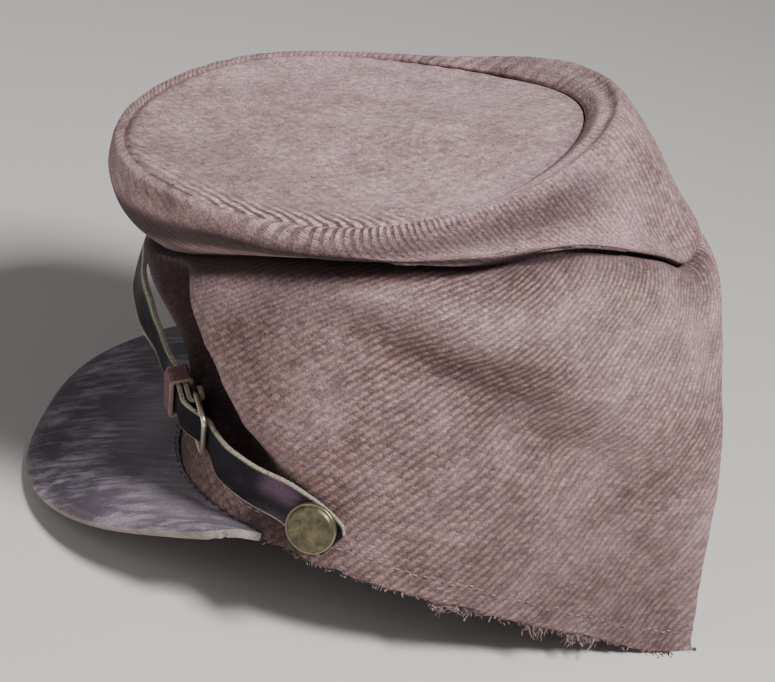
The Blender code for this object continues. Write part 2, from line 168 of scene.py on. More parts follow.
def grid_piece(name: str, points: np.ndarray, closed: bool = False, uv: Optional[np.ndarray] = None,
               marks: Optional[dict[str, np.ndarray]] = None, pole: bool = False,
               caps: bool = False) -> Object:
    """Make a mesh object over a grid of points.

    Args:
        name: Name of the object.
        points: Rows by columns by three, in mm.
        closed: Whether the last column joins the first.
        uv: Rows by columns (one more if closed) by two.
        marks: Named values, rows by columns, kept as attributes of the points.
        pole: Whether the last row is gathered to its middle.
        caps: Whether the first and last rows are filled with one face each.

    Returns:
        The object, linked to the scene and shaded smooth.
    """
    rows, columns = points.shape[:2]
    spans = columns if closed else columns - 1
    verts = points.reshape(-1, 3) * MM
    r, c = np.meshgrid(np.arange(rows - 1), np.arange(spans), indexing="ij")
    after = (c + 1) % columns
    faces = np.stack([r * columns + c, r * columns + after, (r + 1) * columns + after,
                      (r + 1) * columns + c], axis=-1).reshape(-1, 4).tolist()
    coords = None
    if uv is not None:
        coords = np.stack([uv[r, c], uv[r, c + 1], uv[r + 1, c + 1], uv[r + 1, c]], axis=2)
        coords = coords.reshape(-1, 2)
    values = {key: value.reshape(-1) for key, value in (marks or {}).items()}
    if pole:
        verts = np.vstack([verts, points[-1].mean(axis=0) * MM])
        middle = len(verts) - 1
        first = (rows - 1) * columns
        faces += [(first + i, first + (i + 1) % columns, middle) for i in range(columns)]
        if coords is not None:
            centre = uv[-1].mean(axis=0)
            ring = np.stack([np.stack([uv[-1, i], uv[-1, i + 1], centre]) for i in range(columns)])
            coords = np.vstack([coords, ring.reshape(-1, 2)])
        values = {key: np.append(value, value[-columns:].mean()) for key, value in values.items()}
    if caps:
        faces.append(tuple(range(columns))[::-1])
        faces.append(tuple(range((rows - 1) * columns, rows * columns)))
        if coords is not None:
            coords = np.vstack([coords, uv[0, :columns][::-1], uv[-1, :columns]])
    mesh = bpy.data.meshes.new(name)
    mesh.from_pydata(verts.tolist(), [], faces)
    if coords is not None:
        mesh.uv_layers.new(name="cloth").data.foreach_set("uv", coords.astype(np.float32).ravel())
    for key, value in values.items():
        mesh.attributes.new(key, "FLOAT", "POINT").data.foreach_set("value", value.astype(np.float32))
    mesh.shade_smooth()
    return link(bpy.data.objects.new(name, mesh))


def baked(piece: Object) -> Object:
    """Turn a piece with modifiers, or a curve, into a plain mesh object of the same name.

    Args:
        piece: The object, which is removed.

    Returns:
        A mesh object at the origin.
    """
    bpy.context.view_layer.update()
    mesh = bpy.data.meshes.new_from_object(piece.evaluated_get(bpy.context.evaluated_depsgraph_get()))
    mesh.transform(piece.matrix_world)
    name = piece.name
    bpy.data.objects.remove(piece)
    mesh.name = name
    return link(bpy.data.objects.new(name, mesh))


def finished(piece: Object, material: Material) -> Object:
    """Give a piece its material and turn it into a plain mesh."""
    piece.data.materials.append(material)
    return baked(piece)


def wall(piece: Object, thickness: float, thin_rows: Sequence[int] = (), columns: int = 0) -> None:
    """Give a sheet its thickness, behind its faces.

    Args:
        piece: The sheet.
        thickness: In mm.
        thin_rows: Rows of its grid where a tight fold leaves room for a quarter of the thickness only.
        columns: Number of points in a row.
    """
    solid = piece.modifiers.new("Wall", "SOLIDIFY")
    solid.thickness = thickness * MM
    solid.offset = -1
    solid.use_quality_normals = True
    if len(thin_rows):
        group = piece.vertex_groups.new(name="full")
        every = set(range(len(piece.data.vertices)))
        thin = {int(row) * columns + column for row in thin_rows for column in range(columns)}
        group.add(sorted(every - thin), 1.0, "REPLACE")
        group.add(sorted(thin), 0.0, "REPLACE")
        solid.vertex_group = group.name
        solid.thickness_vertex_group = 0.25


def soften(piece: Object, width: float, segments: int = 2, angle: float = 40) -> None:
    """Round a piece's edges.

    Args:
        piece: The piece.
        width: Width of the rounding, in mm.
        segments: Faces across it.
        angle: Degrees from which an edge is rounded.
    """
    bevel = piece.modifiers.new("Soft edge", "BEVEL")
    bevel.width = width * MM
    bevel.segments = segments
    bevel.limit_method = "ANGLE"
    bevel.angle_limit = math.radians(angle)
    bevel.harden_normals = False


def keep_above_floor(piece: Object, least: float = 0.0) -> None:
    """Flatten what hangs below the surface that the cap rests on."""
    for vertex in piece.data.vertices:
        vertex.co.z = max(vertex.co.z, least * MM)


def turned_ring(radii: Sequence[float], heights: Sequence[float], sides: int) -> np.ndarray:
    """Points of a turned profile.

    Args:
        radii: Distances from the axis, in mm.
        heights: Places along the axis, in mm.
        sides: Steps round the axis.

    Returns:
        Rows along the profile by columns round the axis.
    """
    angles = np.arange(sides) * math.tau / sides
    radius = np.array(radii, float)[:, None]
    height = np.repeat(np.array(heights, float)[:, None], sides, axis=1)
    return np.stack([radius * np.cos(angles), radius * np.sin(angles), height], axis=-1)


# ---------------------------------------------------------------- finishes


@dataclass(frozen=True)
class Finish:
    """A finish drawn by nodes, in object coordinates."""

    name: str

    def material(self) -> Material:
        """Build the material.

        Returns:
            The material, whose nodes are the finish's own.
        """
        made = bpy.data.materials.new(self.name)
        made.use_nodes = True
        tree = made.node_tree
        tree.nodes.clear()
        place = add(tree, "ShaderNodeTexCoord").outputs["Object"]
        shader = add(tree, "ShaderNodeBsdfPrincipled", self.look(tree, place))
        add(tree, "ShaderNodeOutputMaterial", {"Surface": shader})
        return made

    def look(self, tree: NodeTree, place: NodeSocket) -> dict[str, Any]:
        """Draw the finish.

        Args:
            tree: The material's node tree.
            place: Object coordinates.

        Returns:
            Inputs of the shader.
        """
        raise NotImplementedError


class Nap(Enum):
    """How much of the twill still shows through the milled surface of the wool."""

    WORN = 0.43
    MILLED = 0.14


@dataclass(frozen=True)
class TwillWool(Finish):
    """Homespun wool twill, vegetable-dyed brown and faded: soft slanting wales with a dusty bloom.

    Pale warp floats lie over a darker weft, so each wale reads as a row of short light dashes. The yarn is
    uneven: every float has a shade of its own, and the dye has gone pink in places and tan in others. The
    wales of such a cloth are 1 to 1.5 mm wide. They are drawn about twice as wide, so that they still show.
    """

    nap: Nap
    mottled: float = 0.17       # unevenness of the shade
    wale: float = 3.0           # spacing of the wales round the cap, 2.5 across them, mm
    float_length: float = 1.6   # length of one warp float, mm
    slant: float = 0.42         # how much later a float starts on the next wale, of its length
    wander: float = 2.2         # how far the wales stray, mm
    stray: float = 8.0          # size of their bends, mm
    fuzz: float = 0.8           # fibre fuzz, mm, many times a real fibre, so that it still shows
    slub: float = 2.6           # size of the yarn's thick places, mm
    cloud: float = 24.0         # size of the faded patches, mm
    own: float = 0.34           # how much the shades of the floats differ
    cover: float = 0.62         # share of warp in the colour where no wale shows
    relief: float = 0.5         # depth of the weave, mm
    warp: str = "c19ca0"
    warp_tan: str = "b2988a"
    weft: str = "4a2e35"
    # pale colour of dust and fading, also used for painted light
    dust_and_light: str = "c8a9ae"
    # colour of soil, and of the painted shade on the wool
    soil_and_shade: str = "281a1f"
    sheen: str = "c9b6b4"

    def look(self, tree: NodeTree, place: NodeSocket) -> dict[str, Any]:
        """Draw the finish. The UV map is in mm: X crosses the wales and Y runs up them.

        Args:
            tree: The material's node tree.
            place: Object coordinates.

        Returns:
            Inputs of the shader.
        """
        yarn, shade = self.weave(tree, place)
        fuzz, slub, cloud = (
            add(tree, "ShaderNodeTexNoise", {"Vector": place, "Scale": 1 / (size * MM), "Detail": detail,
                                             "Roughness": roughness})
            for size, detail, roughness in ((self.fuzz, 3.0, 0.75), (self.slub, 3.0, 0.65),
                                            (self.cloud, 5.0, 0.62)))
        plain, wear_and_light, soil_and_shade = (
            add(tree, "ShaderNodeAttribute", attribute_name=mark, attribute_type="GEOMETRY").outputs["Fac"]
            for mark in ("plain", "wear_and_light", "soil_and_shade"))
        # each value from its range to a new one; the last column keeps it inside
        dye, own, clear, grain, blotch, mottle = (
            add(tree, "ShaderNodeMapRange", {"Value": value, "From Min": start, "From Max": end,
                                             "To Min": low, "To Max": high}, clamp=clamp)
            for value, start, end, low, high, clamp in (
                (slub, 0.4, 0.6, 0.0, 1.0, True), (shade, 0.0, 1.0, 1 - self.own, 1 + self.own, True),
                (plain, 0.0, 1.0, self.nap.value, 1.0, False), (fuzz, 0.3, 0.7, 0.46, 1.54, False),
                (cloud, 0.35, 0.65, 0.88, 1.1, True),
                (slub, 0.35, 0.65, 1 - self.mottled, 1 + self.mottled, True)))
        warp = add(tree, "ShaderNodeMix", {"Factor": dye, MIX_A: linear(self.warp),
                                           MIX_B: linear(self.warp_tan)}, data_type="RGBA")
        clearer = add(tree, "ShaderNodeMath", {0: plain, 1: 0.0}, operation="MAXIMUM")
        raised = add(tree, "ShaderNodeMath", {0: clearer, 1: 0.35, 2: 1.0}, operation="MULTIPLY_ADD")
        lit = add(tree, "ShaderNodeMath", {0: own, 1: raised}, operation="MULTIPLY")
        floats = add(tree, "ShaderNodeVectorMath", {0: warp, "Scale": lit}, operation="SCALE")
        middle = add(tree, "ShaderNodeMath", {0: yarn, 1: self.cover}, operation="SUBTRACT")
        shown = add(tree, "ShaderNodeMath", {0: middle, 1: clear, 2: self.cover},
                    operation="MULTIPLY_ADD", use_clamp=True)
        patchy = add(tree, "ShaderNodeMath", {0: cloud, 1: 2.0, 2: -0.82}, operation="MULTIPLY_ADD",
                     use_clamp=True)
        # wear_and_light pales the cloth: rubbed wear, and painted light where the marks add it
        bright = add(tree, "ShaderNodeMath", {0: wear_and_light, 1: 0.8, 2: patchy}, operation="MULTIPLY_ADD",
                     use_clamp=True)
        dusty = add(tree, "ShaderNodeMath", {0: bright, 1: 0.5}, operation="MULTIPLY")
        colour: Any = linear(self.weft)
        # over the weft: the floats, then the pale bloom, then soil and painted shade
        for amount, over in ((shown, floats), (dusty, linear(self.dust_and_light)), (soil_and_shade, linear(self.soil_and_shade))):
            colour = add(tree, "ShaderNodeMix", {"Factor": amount, MIX_A: colour, MIX_B: over},
                         data_type="RGBA")
        large = add(tree, "ShaderNodeMath", {0: mottle, 1: blotch}, operation="MULTIPLY")
        both = add(tree, "ShaderNodeMath", {0: grain, 1: large}, operation="MULTIPLY")
        colour = add(tree, "ShaderNodeVectorMath", {0: colour, "Scale": both}, operation="SCALE")
        relief = add(tree, "ShaderNodeMath", {0: yarn, 1: clear}, operation="MULTIPLY")
        fluff = add(tree, "ShaderNodeMath", {0: fuzz, 1: 0.6, 2: relief}, operation="MULTIPLY_ADD")
        bump = add(tree, "ShaderNodeBump", {"Height": fluff, "Strength": 1.0, "Distance": self.relief * MM})
        return {"Base Color": colour, "Roughness": 0.95, "Specular IOR Level": 0.15, "Sheen Weight": 0.2,
                "Sheen Roughness": 0.6, "Sheen Tint": linear(self.sheen), "Normal": bump}

    def weave(self, tree: NodeTree, place: NodeSocket) -> tuple[Node, Node]:
        """Draw the floats.

        Args:
            tree: The material's node tree.
            place: Object coordinates.

        Returns:
            How far each point is up a float, and the float's own random shade, both from 0 to 1.
        """
        uv = add(tree, "ShaderNodeUVMap", uv_map="cloth")
        wander = add(tree, "ShaderNodeTexNoise", {"Vector": place, "Scale": 1 / (self.stray * MM),
                                                  "Detail": 3.0})
        split = add(tree, "ShaderNodeSeparateXYZ", {"Vector": uv}).outputs
        across = add(tree, "ShaderNodeMath", {0: wander, 1: self.wander, 2: split["X"]},
                     operation="MULTIPLY_ADD")
        wales, up = (add(tree, "ShaderNodeMath", {0: way, 1: 1 / size}, operation="MULTIPLY")
                     for way, size in ((across, self.wale), (split["Y"], self.float_length)))
        floats = add(tree, "ShaderNodeMath", {0: wales, 1: self.slant, 2: up}, operation="MULTIPLY_ADD")
        numbers, swells = [], []
        # a swell rises between two values of its wave, from the least height
        for count, low, high, least in ((wales, 0.8, -0.5, 0.0), (floats, 1.0, -0.4, 0.72)):
            numbers.append(add(tree, "ShaderNodeMath", {0: count}, operation="FLOOR"))
            turn = add(tree, "ShaderNodeMath", {0: count, 1: math.tau}, operation="MULTIPLY")
            wave = add(tree, "ShaderNodeMath", {0: turn}, operation="COSINE")
            swells.append(add(tree, "ShaderNodeMapRange", {
                "Value": wave, "From Min": low, "From Max": high, "To Min": least},
                interpolation_type="SMOOTHSTEP"))
        cell = add(tree, "ShaderNodeCombineXYZ", dict(zip("XY", numbers)))
        own = add(tree, "ShaderNodeTexWhiteNoise", {"Vector": cell}, noise_dimensions="2D")
        return add(tree, "ShaderNodeMath", dict(enumerate(swells)), operation="MULTIPLY"), own


@dataclass(frozen=True)
class WornLeather(Finish):
    """Blackened bridle leather, rubbed and crazed: the dye is left in the hollows and the edges are pale.

    Attributes of the mesh drive it: edge is 1 on a cut or rubbed edge, and rub_and_sheen is 1 on a patch
    rubbed through the dye and on the strap's painted sheen. Its grit is drawn at 0.6 mm, twice the size of
    the real grain, so that it still shows.
    """

    dye: str = "2b2529"
    rubbed: str = "5f5458"
    # colour of patches rubbed through the dye, and of the painted sheen on the strap
    bare_and_sheen: str = "6e5a44"
    cut: str = "b3a08c"
    streak: tuple[float, float, float] = (3.0, 26.0, 6.0)   # size of the rubbed streaks along X, Y, Z, mm
    roughness: float = 0.5
    rubbed_share: float = 0.5
    craze: float = 1.6          # size of the crazed cells, mm
    cloud: float = 17.0         # size of the rubbed patches, mm
    grit: float = 0.6           # size of the grain, mm
    relief: float = 0.2         # depth of the grain, mm
    gloss: float = 0.35

    def look(self, tree: NodeTree, place: NodeSocket) -> dict[str, Any]:
        """Draw the finish.

        Args:
            tree: The material's node tree.
            place: Object coordinates.

        Returns:
            Inputs of the shader.
        """
        drawn = add(tree, "ShaderNodeMapping", {"Vector": place,
                                                "Scale": tuple(1 / (s * MM) for s in self.streak)})
        streaks, cloud, grit = (
            add(tree, "ShaderNodeTexNoise", {"Vector": vector, "Scale": scale, "Detail": detail,
                                             "Roughness": roughness, "Distortion": distortion})
            for vector, scale, detail, roughness, distortion in (
                (drawn, 1.0, 5.0, 0.65, 0.4), (place, 1 / (self.cloud * MM), 4.0, 0.5, 0.0),
                (place, 1 / (self.grit * MM), 3.0, 0.7, 0.0)))
        cells = add(tree, "ShaderNodeTexVoronoi", {"Vector": drawn, "Scale": 5.0 / self.craze},
                    feature="DISTANCE_TO_EDGE")
        rub_and_sheen, edge = (
            add(tree, "ShaderNodeAttribute", attribute_name=mark, attribute_type="GEOMETRY").outputs["Fac"]
            for mark in ("rub_and_sheen", "edge"))
        both = add(tree, "ShaderNodeMath", {0: streaks, 1: cloud}, operation="MULTIPLY")
        more = 0.2 * self.rubbed_share
        # each value from its range to a new one
        crack, worn, spotty, chipped, speck, dull = (
            add(tree, "ShaderNodeMapRange", {"Value": value, "From Min": start, "From Max": end,
                                             "To Min": low, "To Max": high})
            for value, start, end, low, high in (
                (cells, 0.0, 0.09, 0.0, 1.0), (both, 0.33 - more, 0.52 - more, 0.0, 1.0),
                (streaks, 0.25, 0.7, 0.35, 1.0), (grit, 0.3, 0.6, 0.45, 1.0), (grit, 0.2, 0.8, 0.6, 1.4),
                (both, 0.1, 0.4, self.roughness - 0.08, self.roughness + 0.2)))
        patch, pale = (add(tree, "ShaderNodeMath", {0: mark, 1: share}, operation="MULTIPLY")
                       for mark, share in ((rub_and_sheen, spotty), (edge, chipped)))
        colour: Any = linear(self.dye)
        for amount, over in ((worn, self.rubbed), (patch, self.bare_and_sheen), (pale, self.cut)):
            colour = add(tree, "ShaderNodeMix", {"Factor": amount, MIX_A: colour, MIX_B: linear(over)},
                         data_type="RGBA")
        colour = add(tree, "ShaderNodeVectorMath", {0: colour, "Scale": speck}, operation="SCALE")
        height = add(tree, "ShaderNodeMath", {0: grit, 1: 0.4, 2: crack}, operation="MULTIPLY_ADD")
        bump = add(tree, "ShaderNodeBump", {"Height": height, "Strength": 0.5,
                                            "Distance": self.relief * MM})
        return {"Base Color": colour, "Roughness": dull, "IOR": 1.5, "Specular IOR Level": self.gloss,
                "Normal": bump}


@dataclass(frozen=True)
class OldBrass(Finish):
    """Stamped brass gone olive with handling: brown tarnish in cloudy patches, brighter where rubbed."""

    clean: str = "8d8468"
    tarnish: str = "4c473a"
    roughness: float = 0.42
    cloud: float = 2.6          # size of the tarnish patches, mm
    pit: float = 0.25           # size of the pits, mm
    relief: float = 0.08        # depth of the pits, mm

    def look(self, tree: NodeTree, place: NodeSocket) -> dict[str, Any]:
        """Draw the finish.

        Args:
            tree: The material's node tree.
            place: Object coordinates.

        Returns:
            Inputs of the shader.
        """
        cloud, pits = (
            add(tree, "ShaderNodeTexNoise", {"Vector": place, "Scale": 1 / (size * MM), "Detail": detail,
                                             "Roughness": roughness})
            for size, detail, roughness in ((self.cloud, 5.0, 0.65), (self.pit, 2.0, 0.5)))
        edge = add(tree, "ShaderNodeAttribute", attribute_name="edge", attribute_type="GEOMETRY")
        share = add(tree, "ShaderNodeMapRange", {"Value": cloud, "From Min": 0.35, "From Max": 0.7,
                                                 "To Max": 0.7})
        rubbed = add(tree, "ShaderNodeMath", {0: share, 1: edge.outputs["Fac"]}, operation="ADD",
                     use_clamp=True)
        colour = add(tree, "ShaderNodeMix", {"Factor": rubbed, MIX_A: linear(self.tarnish),
                                             MIX_B: linear(self.clean)}, data_type="RGBA")
        dull = add(tree, "ShaderNodeMapRange", {"Value": rubbed, "To Min": self.roughness + 0.16,
                                                "To Max": self.roughness - 0.1})
        bump = add(tree, "ShaderNodeBump", {"Height": pits, "Strength": 0.25, "Distance": self.relief * MM})
        return {"Base Color": colour, "Metallic": 0.9, "Roughness": dull, "Normal": bump}


@dataclass(frozen=True)
class Thread(Finish):
    """Spun thread or loose wool yarn: matt, with its twist too fine to draw, so only its shade wanders."""

    light: str = "9c877c"
    dark: str = "6b5552"
    cloud: float = 4.0          # size of the shades, mm

    def look(self, tree: NodeTree, place: NodeSocket) -> dict[str, Any]:
        """Draw the finish.

        Args:
            tree: The material's node tree.
            place: Object coordinates.

        Returns:
            Inputs of the shader.
        """
        shade = add(tree, "ShaderNodeTexNoise", {"Vector": place, "Scale": 1 / (self.cloud * MM),
                                                 "Detail": 2.0})
        even = add(tree, "ShaderNodeMapRange", {"Value": shade, "From Min": 0.35, "From Max": 0.65})
        colour = add(tree, "ShaderNodeMix", {"Factor": even, MIX_A: linear(self.dark),
                                             MIX_B: linear(self.light)}, data_type="RGBA")
        return {"Base Color": colour, "Roughness": 0.9, "Specular IOR Level": 0.2, "Sheen Weight": 0.2}


@dataclass(frozen=True)
class StudioPaper(Finish):
    """Matt pale paper sweep under the cap."""

    name: str = "studio_paper"
    shade: str = "d8d5d0"

    def look(self, tree: NodeTree, place: NodeSocket) -> dict[str, Any]:
        """Give the paper's shade and roughness; it needs no other node of the tree and no place."""
        return {"Base Color": linear(self.shade), "Roughness": 0.9}


# ---------------------------------------------------------------- the cap's shape


class Section(NamedTuple):
    """A closed line round the cap, from the front, by the side, to the rear crease, in mm."""

    name: str
    front_y: float
    front_z: float
    half_width: float
    side_y: float
    side_z: float
    rear_y: float
    rear_z: float
    crease: float


class Dent(NamedTuple):
    """A soft dent or fold: its centre, how far it slants per level, its size and how it moves the cloth."""

    name: str
    angle: float
    level: float
    slant: float
    angle_radius: float
    level_radius: float
    out: float
    up: float


SECTIONS = (
    Section("rim", -70, 22, 75.0, -20, 32, 118.7, -9, 1.00),
    Section("hem", -70, 30, 75.5, -20, 40, 116, 3, 0.95),
    Section("low side", -72, 45, 76.0, -20, 60, 109, 38, 0.80),
    Section("middle", -81, 62, 76.0, -18, 86, 102, 72, 0.70),
    Section("upper side", -95, 76, 76.5, -12, 111, 93, 98, 0.60),
    Section("fold bulge", -99, 83, 76.0, -4, 131, 81, 130, 0.50),
    Section("fold top", -98, 86, 73.0, 0, 137, 73, 141, 0.50),
    Section("fold crease", -94, 87, 67.0, 2, 139, 65, 141, 0.50),
    Section("lip", -97, 89, 75.0, -4, 141, 69, 145, 0.45),
    Section("roll low", -104, 93, 79.0, -18, 139, 60, 153, 0.30),
    Section("roll middle", -113, 101, 80.5, -32, 137, 48, 165, 0.10),
    Section("roll top", -118, 111, 79.5, -43, 137, 36, 175, 0.00),
    Section("welt", -118.6, 120, 77.2, -48, 140, 29, 177, 0.00),
    Section("crown seam", -115.6, 122, 74.0, -48, 140, 22, 169, 0.00),
)

DENTS = (
    Dent("left slant dent", 107, 3.5, -32, 16, 0.9, -4.0, 0.0),
    Dent("left rear dent", 140, 2.2, -12, 12, 1.2, -2.5, 0.0),
    Dent("left fold rise", 124, 7.0, 0, 26, 2.6, 0.0, 6.0),
    Dent("left fold end", 163, 7.0, 0, 12, 2.6, 0.0, -4.0),
    Dent("left roll hollow", 112, 10.3, 8, 16, 1.3, -2.5, 0.0),
    Dent("front hollow", 0, 3.2, 0, 18, 1.2, -1.5, 0.0),
    Dent("right front crease", -52, 3.0, 14, 10, 2.4, -3.5, 0.0),
    Dent("right slant dent", -98, 3.2, 24, 16, 0.8, -4.0, 0.0),
    Dent("right rear dent", -142, 3.0, 14, 13, 1.4, -3.0, 0.0),
    Dent("right fold rise", -105, 7.0, 0, 22, 2.6, 0.0, 4.0),
    Dent("right rear roll", -134, 11.2, 0, 26, 1.6, 1.0, 4.5),
)

# Creases too fine for the solids
CREASES = (
    Dent("slant crease", 110, 3.75, -30, 12, 0.33, -1.6, 0.0),
    Dent("slant ridge", 104, 4.5, -30, 16, 0.4, 1.3, 0.0),
    Dent("low slant crease", 133, 2.3, -13, 8, 0.5, -1.2, 0.0),
    Dent("rear pull", 158, 4.9, -16, 8, 0.9, -1.6, 0.0),
    Dent("right slant crease", -104, 3.4, 26, 12, 0.35, -1.5, 0.0),
    Dent("right rear pull", -155, 4.6, 14, 8, 0.9, -1.6, 0.0),
    Dent("right tuck", -52, 2.8, 14, 7, 1.8, -2.0, 0.0),
    Dent("left lip", 114, 8.2, 0, 17, 0.85, -3.2, 0.0),
    Dent("left lip rise", 114, 7.6, 0, 20, 1.6, 0.0, 2.5),
    Dent("left valley", 138, 10.9, 0, 30, 0.5, -1.6, 0.0),
    Dent("rear welt", 185, 12.85, 0, 42, 0.4, 0.0, 1.2),
    Dent("rear valley", 180, 12.15, 0, 36, 0.22, 0.0, -2.6),
)

# The cloth puffs out over the strap on the wearer's left and tucks in behind it, along this line of
# (angle, level)
PUFF_LINE = ((30, 6.2), (35, 5.2), (38, 4.1), (41, 3.3), (48, 2.7), (58, 2.25), (75, 1.92), (96, 1.75))


class Spot(NamedTuple):
    """A soft mark on the wool: its centre and widths in degrees and levels, and how strong it is."""

    name: str
    angle: float
    angle_width: float
    level: float
    level_width: float
    amount: float
    slant: float = 0.0          # degrees for each level

    def share(self, turn: np.ndarray, level: np.ndarray) -> np.ndarray:
        """How far each point is in the mark, from 0 to 1."""
        centre = self.angle + self.slant * (level - self.level)
        return bell(turn, centre, self.angle_width) * bell(level, self.level, self.level_width)


# darker spots on the wool: painted shade in and below the slant dent, and two that darken the lower rear
# and side
SOIL_AND_SHADE_SPOTS = (
    Spot("low rear", 150, 34, 1.0, 1.4, 0.35),
    Spot("low side", 128, 18, 2.2, 0.8, 0.16),
    Spot("below the dent", 107, 9, 3.0, 0.45, 0.22),
    Spot("slant dent", 110, 11, 3.6, 0.5, 0.35, -30),
)


@dataclass(frozen=True)
class Grid:
    """Points on the cap: a level for each row, and an angle from the front, in radians, for each column."""

    levels: np.ndarray
    angles: np.ndarray

    def spread(self) -> tuple[np.ndarray, np.ndarray]:
        """Level of each point, and its angle in degrees from the front to either side."""
        level, angle = np.meshgrid(self.levels, self.angles, indexing="ij")
        return level, np.degrees((angle + math.pi) % math.tau - math.pi)


@dataclass
class CapShape:
    """The outer face of the wool, read by level (a row number of the sections) and angle from the front."""

    sections: Sequence[Section] = SECTIONS
    puff: float = 3.0           # how far the cloth stands out above the line
    puff_width: float = 9.0
    tuck: float = 12.0          # how far it goes in below the line
    tuck_width: float = 8.0
    twist: float = 0.3          # how much a line's rise is kept for its front and rear
    rear_taper: float = 0.35    # narrowing towards the rear crease
    bunching: float = 4.0       # height over which resting cloth bunches up
    per_degree: float = 1.3     # mm of cloth for each degree, round the puff
    per_level: float = 20.0     # mm of cloth for each level, there

    @property
    def top(self) -> int:
        """Level of the crown seam."""
        return len(self.sections) - 1

    def smooth(self, grid: Grid) -> np.ndarray:
        """Points without dents.

        Args:
            grid: Levels and angles to read.

        Returns:
            Rows by columns by three, in mm.
        """
        table = np.array([section[1:] for section in self.sections], float)
        front_y, front_z, half, side_y, side_z, rear_y, rear_z, crease = (
            column[:, None] for column in catmull_rom(table, grid.levels).T)
        along = -np.cos(grid.angles)[None, :]
        reach = np.where(along > 0, rear_y - side_y, side_y - front_y)
        round_width = np.sqrt(np.maximum(0, 1 - along ** 2))
        creased = (1 - along ** 2) * (1 - self.rear_taper * along ** 2)
        width = np.where(along > 0, crease * creased + (1 - crease) * round_width, round_width)
        arch = (front_z + rear_z) / 2 - side_z
        slope = (rear_z - front_z) / 2
        return np.stack([
            half * width * np.sign(np.sin(grid.angles))[None, :],
            side_y + reach * along,
            side_z + arch * along ** 2 + slope * ((1 - self.twist) * along + self.twist * along ** 3),
        ], axis=-1)

    def moved(self, grid: Grid, dents: Sequence[Dent]) -> np.ndarray:
        """Movement by dents, with the crown seam kept in place.

        Args:
            grid: Levels and angles to read.
            dents: Dents to apply.

        Returns:
            Rows by columns by three, in mm.
        """
        level, angle = np.meshgrid(grid.levels, grid.angles, indexing="ij")
        outward = np.stack([np.sin(angle), -np.cos(angle), np.zeros_like(angle)], axis=-1)
        free = np.minimum(1, self.top - level)[..., None]
        move = np.zeros_like(outward)
        for dent in dents:
            centre = np.radians(dent.angle + dent.slant * (level - dent.level))
            turn = np.degrees((angle - centre + math.pi) % math.tau - math.pi)
            share = bell(turn, 0, dent.angle_radius) * bell(level, dent.level, dent.level_radius, 4)
            move += share[..., None] * (outward * dent.out + np.array((0, 0, dent.up)))
        return move * free

    def tuck_shares(self, grid: Grid) -> tuple[np.ndarray, np.ndarray]:
        """How far the cloth is in the puff over the strap, and in the tuck behind it.

        Args:
            grid: Levels and angles to read.

        Returns:
            Two arrays of rows by columns, from 0 to 1.
        """
        level, turn = grid.spread()
        scale = (self.per_degree, self.per_level)
        place = np.stack([turn, level], axis=-1) * scale
        line = np.array(PUFF_LINE) * scale
        nearest, side, run = np.full(level.shape, 1e9), np.zeros(level.shape), np.zeros(level.shape)
        for i, (start, end) in enumerate(zip(line, line[1:])):
            step = end - start
            share = np.clip(((place - start) @ step) / (step @ step), 0, 1)
            away = place - start - share[..., None] * step
            distance = np.hypot(away[..., 0], away[..., 1])
            closer = distance < nearest
            nearest = np.where(closer, distance, nearest)
            above = step[0] * away[..., 1] - step[1] * away[..., 0]
            side = np.where(closer, np.sign(above), side)
            run = np.where(closer, i + share, run)
        signed = nearest * side
        held = ease(run, 0, 1.5) * (1 - ease(run, len(line) - 3, len(line) - 1))
        return (held * bell(signed, self.puff_width * 0.9, self.puff_width),
                held * bell(signed, -self.tuck_width * 0.9, self.tuck_width))

    def tucked(self, grid: Grid) -> np.ndarray:
        """Movement by the puff and the tuck.

        Args:
            grid: Levels and angles to read.

        Returns:
            Rows by columns by three, in mm.
        """
        over, behind = self.tuck_shares(grid)
        out = self.puff * over - self.tuck * behind
        turn = np.broadcast_to(grid.angles, out.shape)
        return out[..., None] * np.stack([np.sin(turn), -np.cos(turn), np.zeros_like(out)], axis=-1)

    def settled(self, height: np.ndarray) -> np.ndarray:
        """Let cloth rest on the floor and bunch up just above it.

        Args:
            height: Heights of the cloth.

        Returns:
            The new heights.
        """
        rim = self.sections[0].rear_z
        low = (rim + math.hypot(rim, self.bunching)) / 2
        return np.maximum((height + np.hypot(height, self.bunching)) / 2 - low, 0)

    def surface(self, grid: Grid, creases: bool = True) -> np.ndarray:
        """Points of the outer face.

        Args:
            grid: Levels and angles to read.
            creases: Whether the fine creases are on it.

        Returns:
            Rows by columns by three, in mm.
        """
        dents = (*DENTS, *CREASES) if creases else DENTS
        points = self.smooth(grid) + self.moved(grid, dents) + self.tucked(grid)
        points[..., 2] = self.settled(points[..., 2])
        return points

    def even_levels(self, count: int) -> np.ndarray:
        """Levels at even steps of cloth, measured on the wearer's left, and closer by the seam.

        Args:
            count: How many levels.

        Returns:
            The levels, from the rim to the crown seam.
        """
        fine = np.linspace(0, self.top, 40 * self.top + 1)
        line = self.smooth(Grid(fine, np.radians(np.array((45.0, 90.0, 135.0)))))
        steps = np.linalg.norm(np.diff(line, axis=0), axis=-1).mean(axis=1)
        steps *= 1 + 1.2 * ease(fine[1:], 11.4, 12.0)
        return np.interp(np.linspace(0, 1, count), np.append(0, np.cumsum(steps)) / steps.sum(), fine)


def grid_normals(points: np.ndarray) -> np.ndarray:
    """Outward normals of a closed grid whose columns run round the object and whose rows run up it."""
    around = np.roll(points, -1, axis=1) - np.roll(points, 1, axis=1)
    return unit(np.cross(around, np.gradient(points, axis=0)))


# ---------------------------------------------------------------- wool pieces


